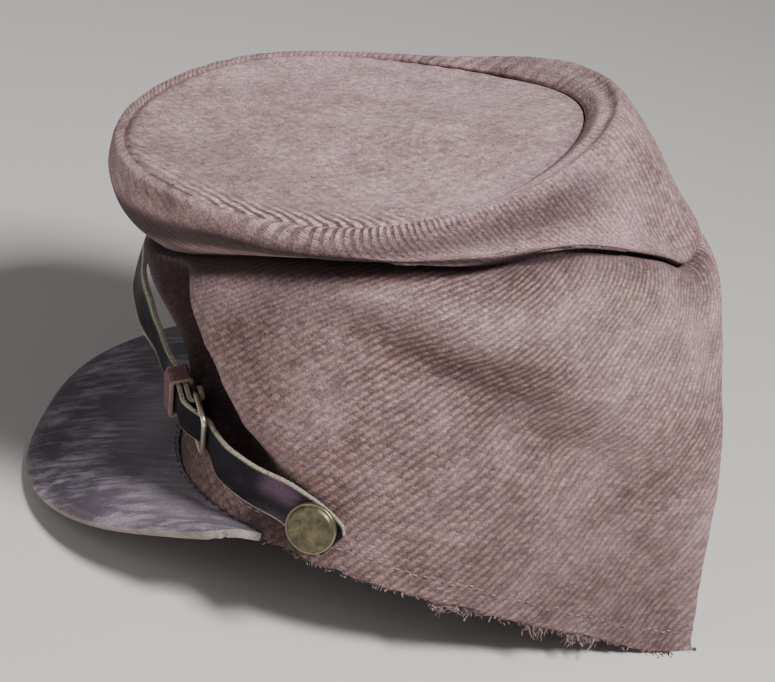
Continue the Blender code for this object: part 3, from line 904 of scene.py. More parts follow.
@dataclass
class WoolSide:
    """The wool side of the cap, from the frayed rim over the slouch fold to the crown seam."""

    shape: CapShape
    finish: TwillWool
    thickness: float = 2.2
    columns: int = 280
    rows: int = 150
    swell: float = 0.6          # soft unevenness of old cloth
    swell_size: float = 30.0
    cockle: float = 0.16        # finer unevenness
    cockle_size: float = 7.0
    pucker: float = 0.16        # gathering at the crown seam
    puckers: int = 58           # how many there are round the seam
    ragged: float = 1.3         # unevenness of the rim's edge
    hem: float = 8.0            # height of the hem stitches above the rim
    fold_from: float = 6.2      # levels between which the fold is too tight for the whole thickness
    fold_to: float = 9.6
    side_slope: float = 0.61    # how far the wales lean on the side, across for each mm up
    top_slopes: tuple[float, float] = (0.65, 0.12)  # the same by the crown seam, in front and behind
    most_soil_and_shade: float = 0.93     # share of the colour of soil and painted shade where it is darkest
    lines: dict[str, np.ndarray] = field(default_factory=dict, init=False)

    def build(self) -> Object:
        """Build and dress the side.

        Returns:
            The piece, which stands for the body's solid.
        """
        levels = self.shape.even_levels(self.rows)
        grid = Grid(levels, np.arange(self.columns) * math.tau / self.columns)
        points = self.relief(self.shape.surface(grid), grid)
        self.lines = self.edge_lines(points)
        piece = grid_piece("wool_side", points, closed=True, uv=self.weave(points, levels),
                           marks=self.marks(grid))
        in_fold = np.flatnonzero((levels > self.fold_from) & (levels < self.fold_to))
        wall(piece, self.thickness, in_fold, self.columns)
        piece = finished(piece, self.finish.material())
        keep_above_floor(piece)
        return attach(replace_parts(piece, "body"), BODY)

    def edge_lines(self, points: np.ndarray) -> dict[str, np.ndarray]:
        """Lines for the threads.

        Args:
            points: The outer face.

        Returns:
            The rim's outer and inner edge and the hem's stitch line, from the front, each closed.
        """
        up = np.cumsum(np.linalg.norm(np.diff(points, axis=0), axis=-1), axis=0)
        row = 1 + np.argmax(up > self.hem, axis=0)
        normals = grid_normals(points)
        column = np.arange(self.columns)
        stitched = points[row, column] + normals[row, column] * 0.12    # half a thread above the cloth
        inner = points[0] - normals[0] * self.thickness * 0.7
        return {name: np.vstack([line, line[:1]])
                for name, line in (("rim", points[0]), ("inner rim", inner), ("hem", stitched))}

    def relief(self, points: np.ndarray, grid: Grid) -> np.ndarray:
        """Add swells, cockles, seam puckers and a ragged rim.

        Args:
            points: The outer face.
            grid: Its levels and angles.

        Returns:
            The new points.
        """
        levels, angles = grid.levels, grid.angles
        free = np.minimum(1, (self.shape.top - levels) / 1.2)[:, None]
        swell = (self.swell * ripple(points, self.swell_size, 3.1)
                 + self.cockle * ripple(points, self.cockle_size, 9.7))
        near_seam = ease(levels, self.shape.top - 1.6, self.shape.top - 0.7)[:, None]
        waves = np.sin(angles * self.puckers + 2.5 * np.sin(angles * 5))[None, :]       # not quite even
        gather = self.pucker * near_seam * waves
        gather = gather * (0.4 + 0.6 * np.sin(angles * 3 + 1)[None, :] ** 2)            # nor equally deep
        tight = 1 - 0.8 * bell(levels, 7.2, 1.1)[:, None]
        normals = grid_normals(points)
        points = points + normals * ((swell + gather) * free * tight)[..., None]
        low = 1 - ease(levels, 0, 0.25)[:, None]
        ragged = self.ragged * (ripple(points[:1], 5, 4.4, 4) + ripple(points[:1], 19, 1.4))
        points[..., 2] += low * ragged * np.minimum(1, points[..., 2] / 6)     # less where it rests
        return points

    def weave(self, points: np.ndarray, levels: np.ndarray) -> np.ndarray:
        """Lay the twill: X across the wales and Y up them, in mm of cloth.

        Args:
            points: The outer face.
            levels: Level of each row.

        Returns:
            Rows by columns and one more, by two.
        """
        loop = np.concatenate([points, points[:, :1]], axis=1)
        around = np.concatenate([np.zeros((len(levels), 1)),
                                 np.cumsum(np.linalg.norm(np.diff(loop, axis=1), axis=-1), axis=1)], axis=1)
        quarter = self.columns // 4
        around -= around[:, [quarter]]
        # level lines get shorter upwards, so each side is laid out from its own middle
        change = around[:, [3 * quarter]] - around[:, 3 * quarter].mean()
        angle = np.arange(self.columns + 1) * math.tau / self.columns
        around -= np.clip((angle - math.radians(100)) / math.radians(160), 0, 1) * change
        up = np.cumsum(np.linalg.norm(np.diff(loop, axis=0), axis=-1), axis=0)
        up = np.concatenate([np.zeros((1, self.columns + 1)), up], axis=0)
        fold = int(np.argmin(np.abs(levels - 6)))
        up = up - up[fold] + loop[fold, :, 2]
        # the wales rise at about 58 degrees on the side, and steeply towards the seam behind
        lean = np.linspace(-20, 320, 341)
        behind = ease(np.abs((angle + math.pi) % math.tau - math.pi), math.radians(95), math.radians(165))
        drift = np.zeros_like(around)
        for share, top_slope in zip((1 - behind, behind), self.top_slopes):
            slope = self.side_slope + (top_slope - self.side_slope) * ease(lean, 70, 165)
            drift += share * np.interp(up, lean, np.append(0, np.cumsum((slope[1:] + slope[:-1]) / 2)))
        return np.stack([around - drift, up * 1.2], axis=-1)

    def marks(self, grid: Grid) -> dict[str, np.ndarray]:
        """Where the wool is faded and rubbed, with some painted light, and where it is soiled and painted
        with shade.

        Args:
            grid: Levels and angles of the outer face.

        Returns:
            The attributes wear_and_light and soil_and_shade, from 0 to 1, and plain, from -1 (felted) to 1
            (clear twill).
        """
        level, turn = grid.spread()
        gathered = bell(level, 12.1, 0.7) * bell(turn, 98, 24, 4)
        plain = gathered + 0.4 * bell(turn, 100, 60) * bell(level, 5, 1.5)
        felted = bell(turn, 48, 26, 4) * bell(level, 11.4, 1.2, 4)
        # the wales are fainter on the low front half
        felted = felted + 0.3 * (1 - ease(np.abs(turn), 74, 100)) * (1 - ease(level, 5, 6.5))
        return {"wear_and_light": self.wear_and_light(level, turn, gathered), "soil_and_shade": self.soil_and_shade(grid),
                "plain": np.clip(plain - felted, -1, 1)}

    def wear_and_light(self, level: np.ndarray, turn: np.ndarray, gathered: np.ndarray) -> np.ndarray:
        """Where the wool is rubbed pale: crown seam, roll, the fold's lower edge, its lip and the rim;
        painted light on the fold's lower edge at the front-left.

        Args:
            level: Level of each point.
            turn: Angle of each point, to either side of the front.
            gathered: Where the cloth is gathered and keeps its colour.

        Returns:
            Values from 0 to 1.
        """
        seam = bell(level, 12.3, 0.5) * (0.35 + 0.65 * bell(turn, 128, 34))
        roll = 0.3 * bell(level, 11.2, 0.7)
        # the fold's lower edge, rubbed pale, with painted light added near 60 degrees on the front-left
        fold = bell(level, 4.75, 0.5) * (0.5 + 0.5 * bell(turn, 60, 12))
        lip = 0.6 * bell(level, 9.8, 0.4) * bell(turn, 116, 16)
        rim = 0.5 * bell(level, 0, 0.2)
        return np.clip((seam + roll) * (1 - 0.8 * gathered) + fold + lip + rim, 0, 1)

    def soil_and_shade(self, grid: Grid) -> np.ndarray:
        """Painted shade in the fold, by the roll, on the front, round the strap and by the dents; soil at
        the hem.

        Args:
            grid: Levels and angles of the outer face.

        Returns:
            Values from 0 to the most soil and painted shade.
        """
        level, turn = grid.spread()
        aside = np.abs(turn)
        # painted shade in the fold: its dark line is wider at the front and narrow at the sides, and ends
        # before the rear
        drop, lift = 0.62 * (1 - ease(aside, 62, 86)), 0.3 * ease(aside, 78, 92)
        fold = bell(level, 7.0 - drop + lift, 0.85 + drop - 0.7 * lift, 8)
        # painted shade under the roll's lower edge, fading out towards the rear
        roll_edge = 10.4 - 0.4 * ease(aside, 62, 84) - 2.0 * ease(aside, 90, 106)
        shade_below_roll = bell(level, roll_edge - 0.55, 0.85, 4) * (1 - ease(aside, 135, 160))
        # painted shade in the hollow of the roll, on the sides
        hollow = bell(level, 10.65, 0.6) * ease(aside, 50, 70) * (1 - ease(aside, 150, 168))
        # painted shade on the front, which faces away from the lamps
        front = bell(turn, 0, 40, 4) * bell(level, 4, 4.2, 4)
        # painted shadow in the tuck behind the strap
        tucked = self.shape.tuck_shares(grid)[1]
        # painted shadow on the wool below the strap, towards the button
        shade_below_strap = bell(turn, 79, 13, 4) * (1 - ease(level, 1.0, 2.0))
        hem = bell(level, 0.6, 0.8)
        # painted shade on the cloth just below the fold, on the wearer's left from the side to the rear
        shade_below_fold = bell(level, 6.3, 0.9) * ease(turn, 80, 95)
        total = 0.92 * fold * (1 - 0.5 * ease(aside, 135, 165)) + 0.92 * shade_below_roll + 0.6 * hollow
        # tucked ** 0.3 spreads a faint painted shading from the tuck up to the puff's edge
        total += 0.85 * front + 1.1 * tucked + 0.15 * tucked ** 0.3 + 0.6 * shade_below_strap
        total += 0.15 * hem + 0.5 * shade_below_fold
        for spot in SOIL_AND_SHADE_SPOTS:
            total += spot.amount * spot.share(turn, level)
        return np.clip(total, 0, self.most_soil_and_shade)


@dataclass
class CrownDisc:
    """The round top: milled wool, sunk a little in the middle, turned down into the crown seam."""

    shape: CapShape
    finish: TwillWool
    thickness: float = 2.2
    columns: int = 240
    rings: int = 60
    sink: float = 3.0
    gap: float = 0.3
    turn_down: float = 1.5      # depth of the edge where it goes into the seam
    swell: float = 0.55         # soft unevenness of old cloth
    swell_size: float = 42.0
    cockle: float = 0.12        # finer unevenness
    cockle_size: float = 8.0
    pucker: float = 0.2         # gathering near the edge
    puckers: int = 46           # how many there are
    closer: float = 1.25        # power by which the rings are closer near the edge
    weave_turn: float = -43.0   # degrees of the wales from front to back

    def build(self) -> Object:
        """Build and dress the disc.

        Returns:
            The piece, which stands for the crown's solid.
        """
        angles = np.arange(self.columns) * math.tau / self.columns
        seam = self.shape.surface(Grid(np.array([float(self.shape.top)]), angles), creases=False)[0]
        last = self.shape.sections[-1]
        middle = np.array((0, (last.front_y + last.rear_y) / 2, (last.front_z + last.rear_z) / 2))
        out = (1 - np.linspace(0, 1, self.rings + 1)[:-1] ** self.closer)[:, None]      # from the edge in
        flat = (seam - middle)[None] * out[..., None]
        points = middle + flat * (1 - self.gap / last.half_width)
        edge = ease(out, 0.955, 1.0)
        waves = np.sin(angles * self.puckers + 1.7 * np.sin(angles * 7))[None, :]
        uneven = (self.swell * ripple(flat, self.swell_size, 6.6)
                  + self.cockle * ripple(flat, self.cockle_size, 2.2))
        uneven += self.pucker * waves * ease(out, 0.8, 0.95)
        shallow = 1 - 0.65 * bell(np.degrees(angles), 185, 52, 4)       # the seam is flatter at the rear
        points[..., 2] += uneven * (1 - edge) - self.sink * (1 - out ** 4)
        points[..., 2] -= self.turn_down * shallow * edge ** 2
        turn = math.radians(self.weave_turn)
        across = flat[..., 0] * math.cos(turn) + flat[..., 1] * math.sin(turn)
        along = flat[..., 1] * math.cos(turn) - flat[..., 0] * math.sin(turn)
        uv = np.stack([across, along], axis=-1)
        piece = grid_piece("crown_disc", points, closed=True, uv=np.concatenate([uv, uv[:, :1]], axis=1),
                           marks=self.marks(out, np.degrees(angles)[None, :]), pole=True)
        wall(piece, self.thickness)
        piece = finished(piece, self.finish.material())
        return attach(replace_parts(piece, "crown_top"), BODY)

    def marks(self, out: np.ndarray, angle: np.ndarray) -> dict[str, np.ndarray]:
        """Where the top is paler, from fading, rubbing and painted light, where it is darker and where its
        twill is clear.

        Args:
            out: Share of the way from the middle to the edge, one for each row.
            angle: Degrees from the front, one for each column.

        Returns:
            The attributes wear_and_light, soil_and_shade and plain, from 0 to 1.
        """
        # the whole top paled by half: fading, and painted light that keeps the top brighter than the side
        wear_and_light = 0.5 + 0.5 * ease(out, 0.78, 0.97) * bell(angle, 125, 45)
        wear_and_light = wear_and_light + 0.5 * ease(out, 0.3, 0.8) * bell(angle, 262, 45)
        # darker at the edge, where it turns down into the seam, and in two patches at the front
        soil_and_shade = 0.25 * bell(angle, 45, 35) * bell(out, 0.62, 0.25) + 0.35 * ease(out, 0.93, 1.0)
        soil_and_shade = soil_and_shade + 0.25 * bell(angle, 20, 40) * ease(out, 0.7, 1.0)
        plain = (bell(angle, 85, 30, 4) + 0.35 * bell(angle, 38, 24, 4)) * ease(out, 0.80, 0.94)
        return {"wear_and_light": wear_and_light * (1 - 0.8 * plain), "soil_and_shade": soil_and_shade * (1 - plain), "plain": plain}


# ---------------------------------------------------------------- leather and brass pieces


@dataclass
class LeatherPeak:
    """The drooping peak: a crescent of leather with a pressed line inside its edge, sewn to the rim."""

    shape: CapShape
    finish: WornLeather
    leather: float = 2.6
    bevel: float = 0.7
    edge_y: float = -37         # y of the outline's widest place
    reach: float = 81.5         # from there to the front
    half_width: float = 82
    squareness: float = 2.7     # power of the outline's curve; 2 is an ellipse
    skew: float = -9.7          # how far the front is shifted to the wearer's right
    droop: float = 26.8         # degrees
    edge_z: float = 43.9        # height of the outline's widest place
    arch: float = 4.6           # how much lower the ends are
    camber: float = 2.5
    lip: float = 5.0            # width of the edge that is pressed down
    lip_drop: float = 1.2
    lap: float = 1.5            # how high the root stands on the wool
    seat: float = 1.0           # its gap from the wool
    end: float = 86.0           # angle of the outline's ends
    root_end: float = 76.0      # angle of the root's ends
    columns: int = 150
    rings: int = 44
    warp: float = 0.55          # unevenness of the old leather
    warp_size: float = 26.0
    crumple_size: float = 6.0   # of its finer unevenness, a quarter as deep
    line_in: float = 4.6        # pressed line, from the edge
    line_depth: float = 0.55
    line_width: float = 0.8
    root_line: Optional[np.ndarray] = field(default=None, init=False)

    def build(self) -> Object:
        """Build and dress the peak.

        Returns:
            The piece, which stands for the peak's solid.
        """
        turn = 1 - 2 * np.linspace(0, 1, self.columns + 1)
        out = np.linspace(0, 1, self.rings + 1)[:, None]
        root = self.shape.smooth(Grid(np.zeros(1), np.radians(self.root_end * turn)))[0]
        outward = root - np.array((0, self.shape.sections[0].side_y, 0))
        outward[:, 2] = 0
        root = root + unit(outward) * self.seat + np.array((0, 0, self.lap))
        angle = np.radians(self.end * turn)
        power = 2 / self.squareness
        forward = np.cos(angle) ** power
        across = np.sign(angle) * np.abs(np.sin(angle)) ** power
        fall = math.tan(math.radians(self.droop))
        edge = np.stack([self.half_width * across + self.skew * forward, self.edge_y - self.reach * forward,
                         self.edge_z - self.reach * forward * fall - self.arch * across ** 2], axis=-1)
        depth = np.linalg.norm(edge - root, axis=-1)[None, :]
        points = root[None] + (edge - root)[None] * out[..., None]
        full = np.minimum(1, depth / self.reach * 2)
        points[..., 2] += self.camber * np.sin(math.pi * out) * full
        inside = (1 - out) * depth
        points[..., 2] -= self.lip_drop * np.maximum(0, 1 - inside / self.lip) ** 2 * full
        points[..., 2] -= self.line_depth * bell(inside, self.line_in, self.line_width) * full
        uneven = ripple(points, self.warp_size, 5.5) + 0.25 * ripple(points, self.crumple_size, 1.1)
        held = np.sin(math.pi * np.minimum(1, out * 1.05 + 0.02)) ** 0.5        # 0 on the root and the edge
        points[..., 2] += self.warp * uneven * full * held
        self.root_line = points[1, 4:-4] + np.array((0, 0, 0.1))
        piece = grid_piece("leather_peak", points, marks=self.marks(points, inside),
                           uv=np.stack([turn[None, :] * 80 + 0 * out, inside], axis=-1))
        wall(piece, self.leather)
        soften(piece, self.bevel, segments=3)
        piece = finished(piece, self.finish.material())
        keep_above_floor(piece)
        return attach(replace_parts(piece, "peak"), BODY)

    def marks(self, points: np.ndarray, inside: np.ndarray) -> dict[str, np.ndarray]:
        """Where the leather is rubbed through its dye and where its edge is pale.

        Args:
            points: The upper face.
            inside: Distance of each point from the outer edge.

        Returns:
            The attributes rub_and_sheen and edge, from 0 to 1.
        """
        x, y = points[..., 0], points[..., 1]
        by_strap = bell(x, 2, 30) * bell(y, -79, 12)
        by_rim = 0.9 * bell(x, 52, 17) * bell(y, -62, 13)
        near = 0.2 * ease(x, 0, 50) * ease(y, -100, -72)
        crack = 0.8 * bell(x, 4 + 0.05 * (y + 110), 1.2) * bell(y, -110, 9)
        ends = [np.linalg.norm(points - points[:, [column]], axis=-1) for column in (0, -1)]
        outline = np.minimum(inside, np.minimum(*ends))
        edge = 0.7 * bell(outline, 0, 0.7) + 0.15 * bell(inside, self.line_in - 1.4, 1.0)
        return {"rub_and_sheen": np.clip(by_strap + by_rim + crack + near, 0, 1), "edge": np.clip(edge, 0, 1)}


class Station(NamedTuple):
    """A point of the strap's middle line; lean turns its top edge outwards, in degrees."""

    name: str
    x: float
    y: float
    z: float
    lean: float


STRAP_ROUTE = (
    Station("left end", 81.0, -10.3, 43.3, -8),
    Station("left button", 78.9, -17.5, 46.7, -9),
    Station("left side", 76.3, -27.4, 49.4, 0),
    Station("left corner", 71.5, -42.2, 49.6, 6),
    Station("by the buckle", 65.0, -53.5, 50.6, 15),
    Station("buckle", 58.0, -59.8, 51.8, 18),
    Station("keeper", 42.3, -69.3, 57.0, 18),
    Station("lifting", 27.5, -82.0, 60.3, 20),
    Station("rising", 13.0, -93.0, 64.5, 5),
    Station("front", -3.0, -99.0, 66.5, 0),
    Station("past front", -20.0, -101.5, 67.5, 0),
    Station("right front", -36.0, -98.0, 67.0, 0),
    Station("falling", -51.0, -88.0, 63.0, 0),
    Station("right corner", -64.0, -70.0, 56.5, 0),
    Station("right side", -73.5, -44.0, 50.0, 0),
    Station("right button", -78.9, -17.5, 46.7, -9),
    Station("right end", -81.0, -10.3, 43.3, -8),
)


class StrapFrame(NamedTuple):
    """Place on the strap: its point and the directions along it, up its width and outwards, in mm."""

    point: np.ndarray
    along: np.ndarray
    up: np.ndarray
    out: np.ndarray


class StrapRoute:
    """The chin strap's middle line, read by the distance along it."""

    def __init__(self, stations: Sequence[Station], fineness: int = 24) -> None:
        """Measure the line.

        Args:
            stations: Points of the line.
            fineness: Samples between two stations.
        """
        table = np.array([station[1:] for station in stations], float)
        places = np.arange((len(table) - 1) * fineness + 1) / fineness
        self.samples = catmull_rom(table, places)
        steps = np.linalg.norm(np.diff(self.samples[:, :3], axis=0), axis=1)
        self.distances = np.append(0, np.cumsum(steps))
        self.length = float(self.distances[-1])

    def at(self, distance: float) -> StrapFrame:
        """Read the line.

        Args:
            distance: Distance from the left end, in mm.

        Returns:
            The frame there.
        """
        x, y, z, lean = (float(np.interp(distance, self.distances, self.samples[:, i])) for i in range(4))
        ahead, behind = (np.array([np.interp(distance + d, self.distances, self.samples[:, i])
                                   for i in range(3)]) for d in (1, -1))
        along = unit(ahead - behind)
        up = np.array((0, 0, 1.0))
        up = unit(up - along * (up @ along))
        out = np.cross(up, along)
        turn = math.radians(lean)
        up, out = up * math.cos(turn) + out * math.sin(turn), out * math.cos(turn) - up * math.sin(turn)
        return StrapFrame(np.array((x, y, z)), along, up, out)

    def matrix(self, distance: float) -> Matrix:
        """Placement whose +Z points outwards and whose X runs along the strap.

        Args:
            distance: Distance from the left end, in mm.

        Returns:
            A matrix without a mirror, in metres.
        """
        place = self.at(distance)
        side = np.cross(place.up, place.out)
        rows = [(side[i], place.up[i], place.out[i], place.point[i] * MM) for i in range(3)]
        return Matrix((*rows, (0, 0, 0, 1)))


class StrapPart(Enum):
    """The two parts of the chin strap."""

    LEFT = "strap_left"
    RIGHT = "strap_right"


@dataclass
class ChinStrap:
    """The leather chin strap: the right part is folded round the buckle, the left part goes through it."""

    route: StrapRoute
    finish: WornLeather
    width: float = 14.0
    leather: float = 1.8
    thin: float = 1.5           # worn thickness, inside the solid's
    gap: float = 0.3
    wire: float = 0.9
    buckle_at: float = 56.0
    buckle_length: float = 12.0
    keeper_offset: float = 8.5
    keeper_width: float = 6.5
    fold_back: float = 5.0
    tail: float = 3.5           # beyond the keeper
    step: float = 0.8
    bevel: float = 0.35
    sink: tuple[float, float] = (14.0, 2.0)     # where the left part goes under the buckle, before its bar
    settle: tuple[float, float] = (7.0, 25.0)   # where the right part comes down, beyond the keeper
    hang: tuple[float, float] = (8.0, 30.0)     # where it starts to hang free, beyond the keeper
    lie: tuple[float, float] = (60.0, 30.0)     # where it lies on the cap again, before its end
    tip: float = 3.5            # length over which an end narrows
    narrowing: float = 0.22     # how much it narrows
    curl: float = 0.5           # waviness of the old edges
    bend: float = 1.1           # how far the free stretch leans to and fro
    dome: float = 0.35          # how far the middle stands out from the edges

    @property
    def fold_radius(self) -> float:
        """Radius of the fold's middle round the buckle's bar."""
        return self.wire + self.gap + self.leather / 2

    @property
    def keeper_at(self) -> float:
        """Distance of the keeper along the route."""
        return self.buckle_at + self.buckle_length + self.keeper_offset

    @property
    def over_fold(self) -> float:
        """How far the tail's middle lies outside the buckle."""
        return self.fold_radius + self.leather + self.gap

    def left_offset(self, distance: float) -> float:
        """How far the left part lies outside the middle line: under the near bar, then over the far one."""
        near, far = self.buckle_at, self.buckle_at + self.buckle_length
        return (-self.fold_radius * float(ease(distance, near - self.sink[0], near - self.sink[1]))
                + (self.fold_radius + self.over_fold) * float(ease(distance, near, far)))

    def right_offset(self, distance: float) -> float:
        """How far the right part lies outside the middle line, from its fold to the far end."""
        start, end = (self.keeper_at + beyond for beyond in self.settle)
        return self.fold_radius * (1 - float(ease(distance, start, end)))

    def left_path(self) -> list[tuple[float, float]]:
        """Distances along and out, from the left end through the buckle and the keeper."""
        end = self.keeper_at + self.keeper_width / 2 + self.tail
        return [(d, self.left_offset(d)) for d in np.arange(0, end, self.step)]

    def right_path(self) -> list[tuple[float, float]]:
        """Path of the right part, from the folded end round the far bar to the right end.

        Returns:
            Distances along and out.
        """
        radius, bar = self.fold_radius, self.buckle_at + self.buckle_length
        inside = [(bar + d, -radius) for d in np.arange(self.fold_back, 0, -self.step)]
        turn = [(bar - radius * math.sin(a), -radius * math.cos(a))
                for a in np.radians(np.arange(0, 181, 15))]
        outside = [(d, self.right_offset(d))
                   for d in np.arange(bar + self.step, self.route.length, self.step)]
        return inside + turn + outside

    def build(self) -> list[Object]:
        """Build and dress both parts.

        Returns:
            The two pieces, each of which stands for its solid.
        """
        leather = self.finish.material()
        pieces = []
        for part, path in ((StrapPart.LEFT, self.left_path()), (StrapPart.RIGHT, self.right_path())):
            piece = self.ribbon(part, path)
            soften(piece, self.bevel, angle=50)
            piece = finished(piece, leather)
            pieces.append(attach(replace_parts(piece, part.value), BODY))
        return pieces

    def ribbon(self, part: StrapPart, path: list[tuple[float, float]]) -> Object:
        """Sweep the strap's section along a path.

        Args:
            part: Which part it is.
            path: Distances along and out.

        Returns:
            A closed mesh object.
        """
        half, seed = self.width / 2, len(part.value)    # the seed gives each part waves of its own
        half_ring = np.concatenate([[-1.0, -0.94], np.linspace(-0.87, 0.87, 9), [0.94, 1.0]])
        across = np.concatenate([half_ring, half_ring[::-1]])
        face = np.repeat((1.0, -1.0), len(half_ring))
        rows, rims, loose, travelled, last = [], [], [], 0.0, None
        for i, (distance, out_by) in enumerate(path):
            place = self.route.at(distance)
            middle = place.point + place.out * out_by
            travelled += 0 if last is None else float(np.linalg.norm(middle - last))
            last = middle
            from_end = min(i, len(path) - 1 - i) * self.step
            narrow = 1 - self.narrowing * (1 - float(ease(from_end, 0, self.tip))) ** 2
            free = float(ease(distance, *(self.keeper_at + beyond for beyond in self.hang))
                         * (1 - ease(distance, *(self.route.length - before for before in self.lie))))
            top_wave, low_wave = (self.curl * noise.noise(Vector((travelled / size, row, seed)))
                                  for size, row in ((9, 1.5), (11, 7.5)))
            bend = free * self.bend * noise.noise(Vector((travelled / 14, 3.3, 0.0)))
            wave = np.abs(across) * np.where(across > 0, top_wave, low_wave)
            wide = across * half * narrow + wave
            deep = face * self.thin / 2 + (0.5 - across ** 2) * self.dome + bend * across
            rows.append(middle + wide[:, None] * place.up + deep[:, None] * place.out)
            rims.append(travelled)
            loose.append(free)
        points = np.array(rows)
        edge = np.select([np.abs(across) > 0.99, np.abs(across) > 0.9], [1.0, 0.85], 0.0)
        edge = np.maximum(edge, 0.95 * (np.abs(across) > 0.86) * np.array(loose)[:, None])
        steps = np.linalg.norm(np.diff(points[0], axis=0), axis=1)
        girth = np.concatenate([[0], np.cumsum(steps), [0]])
        uv = np.stack(np.meshgrid(girth, rims), axis=-1)
        return grid_piece(part.value + "_leather", points[:, ::-1], closed=True, uv=uv, caps=True,
                          marks={"edge": edge, "rub_and_sheen": self.rubbed(np.array(rims)[:, None], across)})

    def rubbed(self, travelled: np.ndarray, across: np.ndarray) -> np.ndarray:
        """Painted sheen on the strap: a purple patch by the button, and a painted highlight along its lower
        edge there.

        Args:
            travelled: Distance of each row from the part's first end.
            across: Place of each column across the width, from -1 to 1.

        Returns:
            Rows by columns, from 0 to 1.
        """
        # painted sheen by the button, and a painted highlight along the lower edge
        patch = bell(travelled, 23, 6.5, 4) * bell(across, 0.45, 0.5, 4)
        return patch + 0.5 * bell(travelled, 20, 9, 4) * bell(across, -0.8, 0.2)


@dataclass
class StrapKeeper:
    """The red-brown leather loop in front of the buckle."""

    strap: ChinStrap
    finish: WornLeather
    leather: float = 1.4
    bevel: float = 0.3
    corner: float = 1.6
    inner_corner: float = 0.4
    slack: float = 0.45         # gap round what it holds

    def build(self) -> Object:
        """Build and dress the loop.

        Returns:
            The piece, which stands for the keeper's solid.
        """
        half = self.strap.width / 2 + self.slack
        layers = (self.strap.over_fold - self.strap.fold_radius) / 2
        deep = layers + self.strap.leather / 2 + self.slack
        inner = self.outline(half, deep, self.inner_corner)
        outer = self.outline(half + self.leather, deep + self.leather, self.corner)
        rows = []
        for share, ring in ((-0.5, inner), (-0.5, outer), (-0.4, outer), (-0.15, outer), (0.15, outer),
                            (0.4, outer), (0.5, outer), (0.5, inner)):
            place = self.strap.route.at(self.strap.keeper_at + share * self.strap.keeper_width)
            middle = place.point + place.out * (self.strap.fold_radius + layers)
            squeeze = 1 - 0.03 * math.cos(share * math.pi * 2) if ring is outer else 1.0
            rows.append(middle + ring[:, :1] * place.out * squeeze + ring[:, 1:] * place.up)
        points = np.array(rows + rows[:1])
        edge = np.zeros(points.shape[:2])
        edge[:2], edge[-3:] = 0.6, 0.6
        piece = grid_piece("strap_keeper", points, closed=True,
                           marks={"edge": edge, "rub_and_sheen": np.full(edge.shape, 0.15)})
        weld_outwards(piece)
        soften(piece, self.bevel, angle=35)
        piece = finished(piece, self.finish.material())
        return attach(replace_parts(piece, "keeper"), BODY)

    def outline(self, half: float, deep: float, corner: float, steps: int = 4) -> np.ndarray:
        """Rounded rectangle.

        Args:
            half: Half its width.
            deep: Half its depth.
            corner: Corner radius.
            steps: Steps round each corner.

        Returns:
            Points of depth and width.
        """
        ring = []
        for out, side, start in ((1, 1, 0), (-1, 1, 90), (-1, -1, 180), (1, -1, 270)):
            for angle in np.radians(np.linspace(start, start + 90, steps + 1)):
                ring.append((out * (deep - corner) + corner * math.cos(angle),
                             side * (half - corner) + corner * math.sin(angle)))
        return np.array(ring)


def weld_outwards(piece: Object, distance: float = 0.01) -> None:
    """Merge doubled points and turn the faces outwards.

    Args:
        piece: The piece.
        distance: How far doubled points may lie apart, in mm.
    """
    bm = bmesh.new()
    bm.from_mesh(piece.data)
    bmesh.ops.remove_doubles(bm, verts=bm.verts, dist=distance * MM)
    bmesh.ops.recalc_face_normals(bm, faces=bm.faces)
    bm.to_mesh(piece.data)
    bm.free()


@dataclass
class WireBuckle:
    """The bent wire frame that the strap is folded round, with the joint of its ends on the inner bar."""

    strap: ChinStrap
    finish: OldBrass
    slack: float = 2.9          # width of the frame over the strap's
    corner: float = 2.0
    sides: int = 14

    def build(self) -> Object:
        """Build and dress the frame.

        Returns:
            The piece, which stands for the buckle's solid.
        """
        start = self.strap.route.at(self.strap.buckle_at)
        end = self.strap.route.at(self.strap.buckle_at + self.strap.buckle_length)
        along = unit(end.point - start.point)
        across = start.up + end.up
        across = unit(across - along * (across @ along))
        half = (self.strap.width + self.slack) / 2
        length, corner = self.strap.buckle_length, self.corner
        line = []
        for a, b, first in ((corner, corner - half, 180), (length - corner, corner - half, 270),
                            (length - corner, half - corner, 0), (corner, half - corner, 90)):
            for angle in np.radians(np.linspace(first, first + 90, 8)):
                line.append((a + corner * math.cos(angle), b + corner * math.sin(angle)))
        line = np.array(line)
        wire = start.point + line[:, :1] * along + line[:, 1:] * across
        tangent = unit(np.roll(wire, -1, axis=0) - np.roll(wire, 1, axis=0))
        outward = np.cross(along, across)
        side = np.cross(tangent, outward)
        turns = np.arange(self.sides) * math.tau / self.sides
        ring = wire[:, None] + self.strap.wire * (np.cos(turns)[None, :, None] * side[:, None]
                                                  + np.sin(turns)[None, :, None] * outward)
        points = np.concatenate([ring, ring[:1]])
        edge = np.repeat(np.clip(0.35 + 0.65 * np.abs(np.sin(turns)), 0, 1)[None], len(points), axis=0)
        piece = grid_piece("wire_buckle", points, closed=True, marks={"edge": edge})
        weld_outwards(piece)
        piece = finished(piece, self.finish.material())
        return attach(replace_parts(piece, "buckle"), BODY)


class ButtonSide(Enum):
    """Which of the strap's two buttons."""

    LEFT = "button_left"
    RIGHT = "button_right"


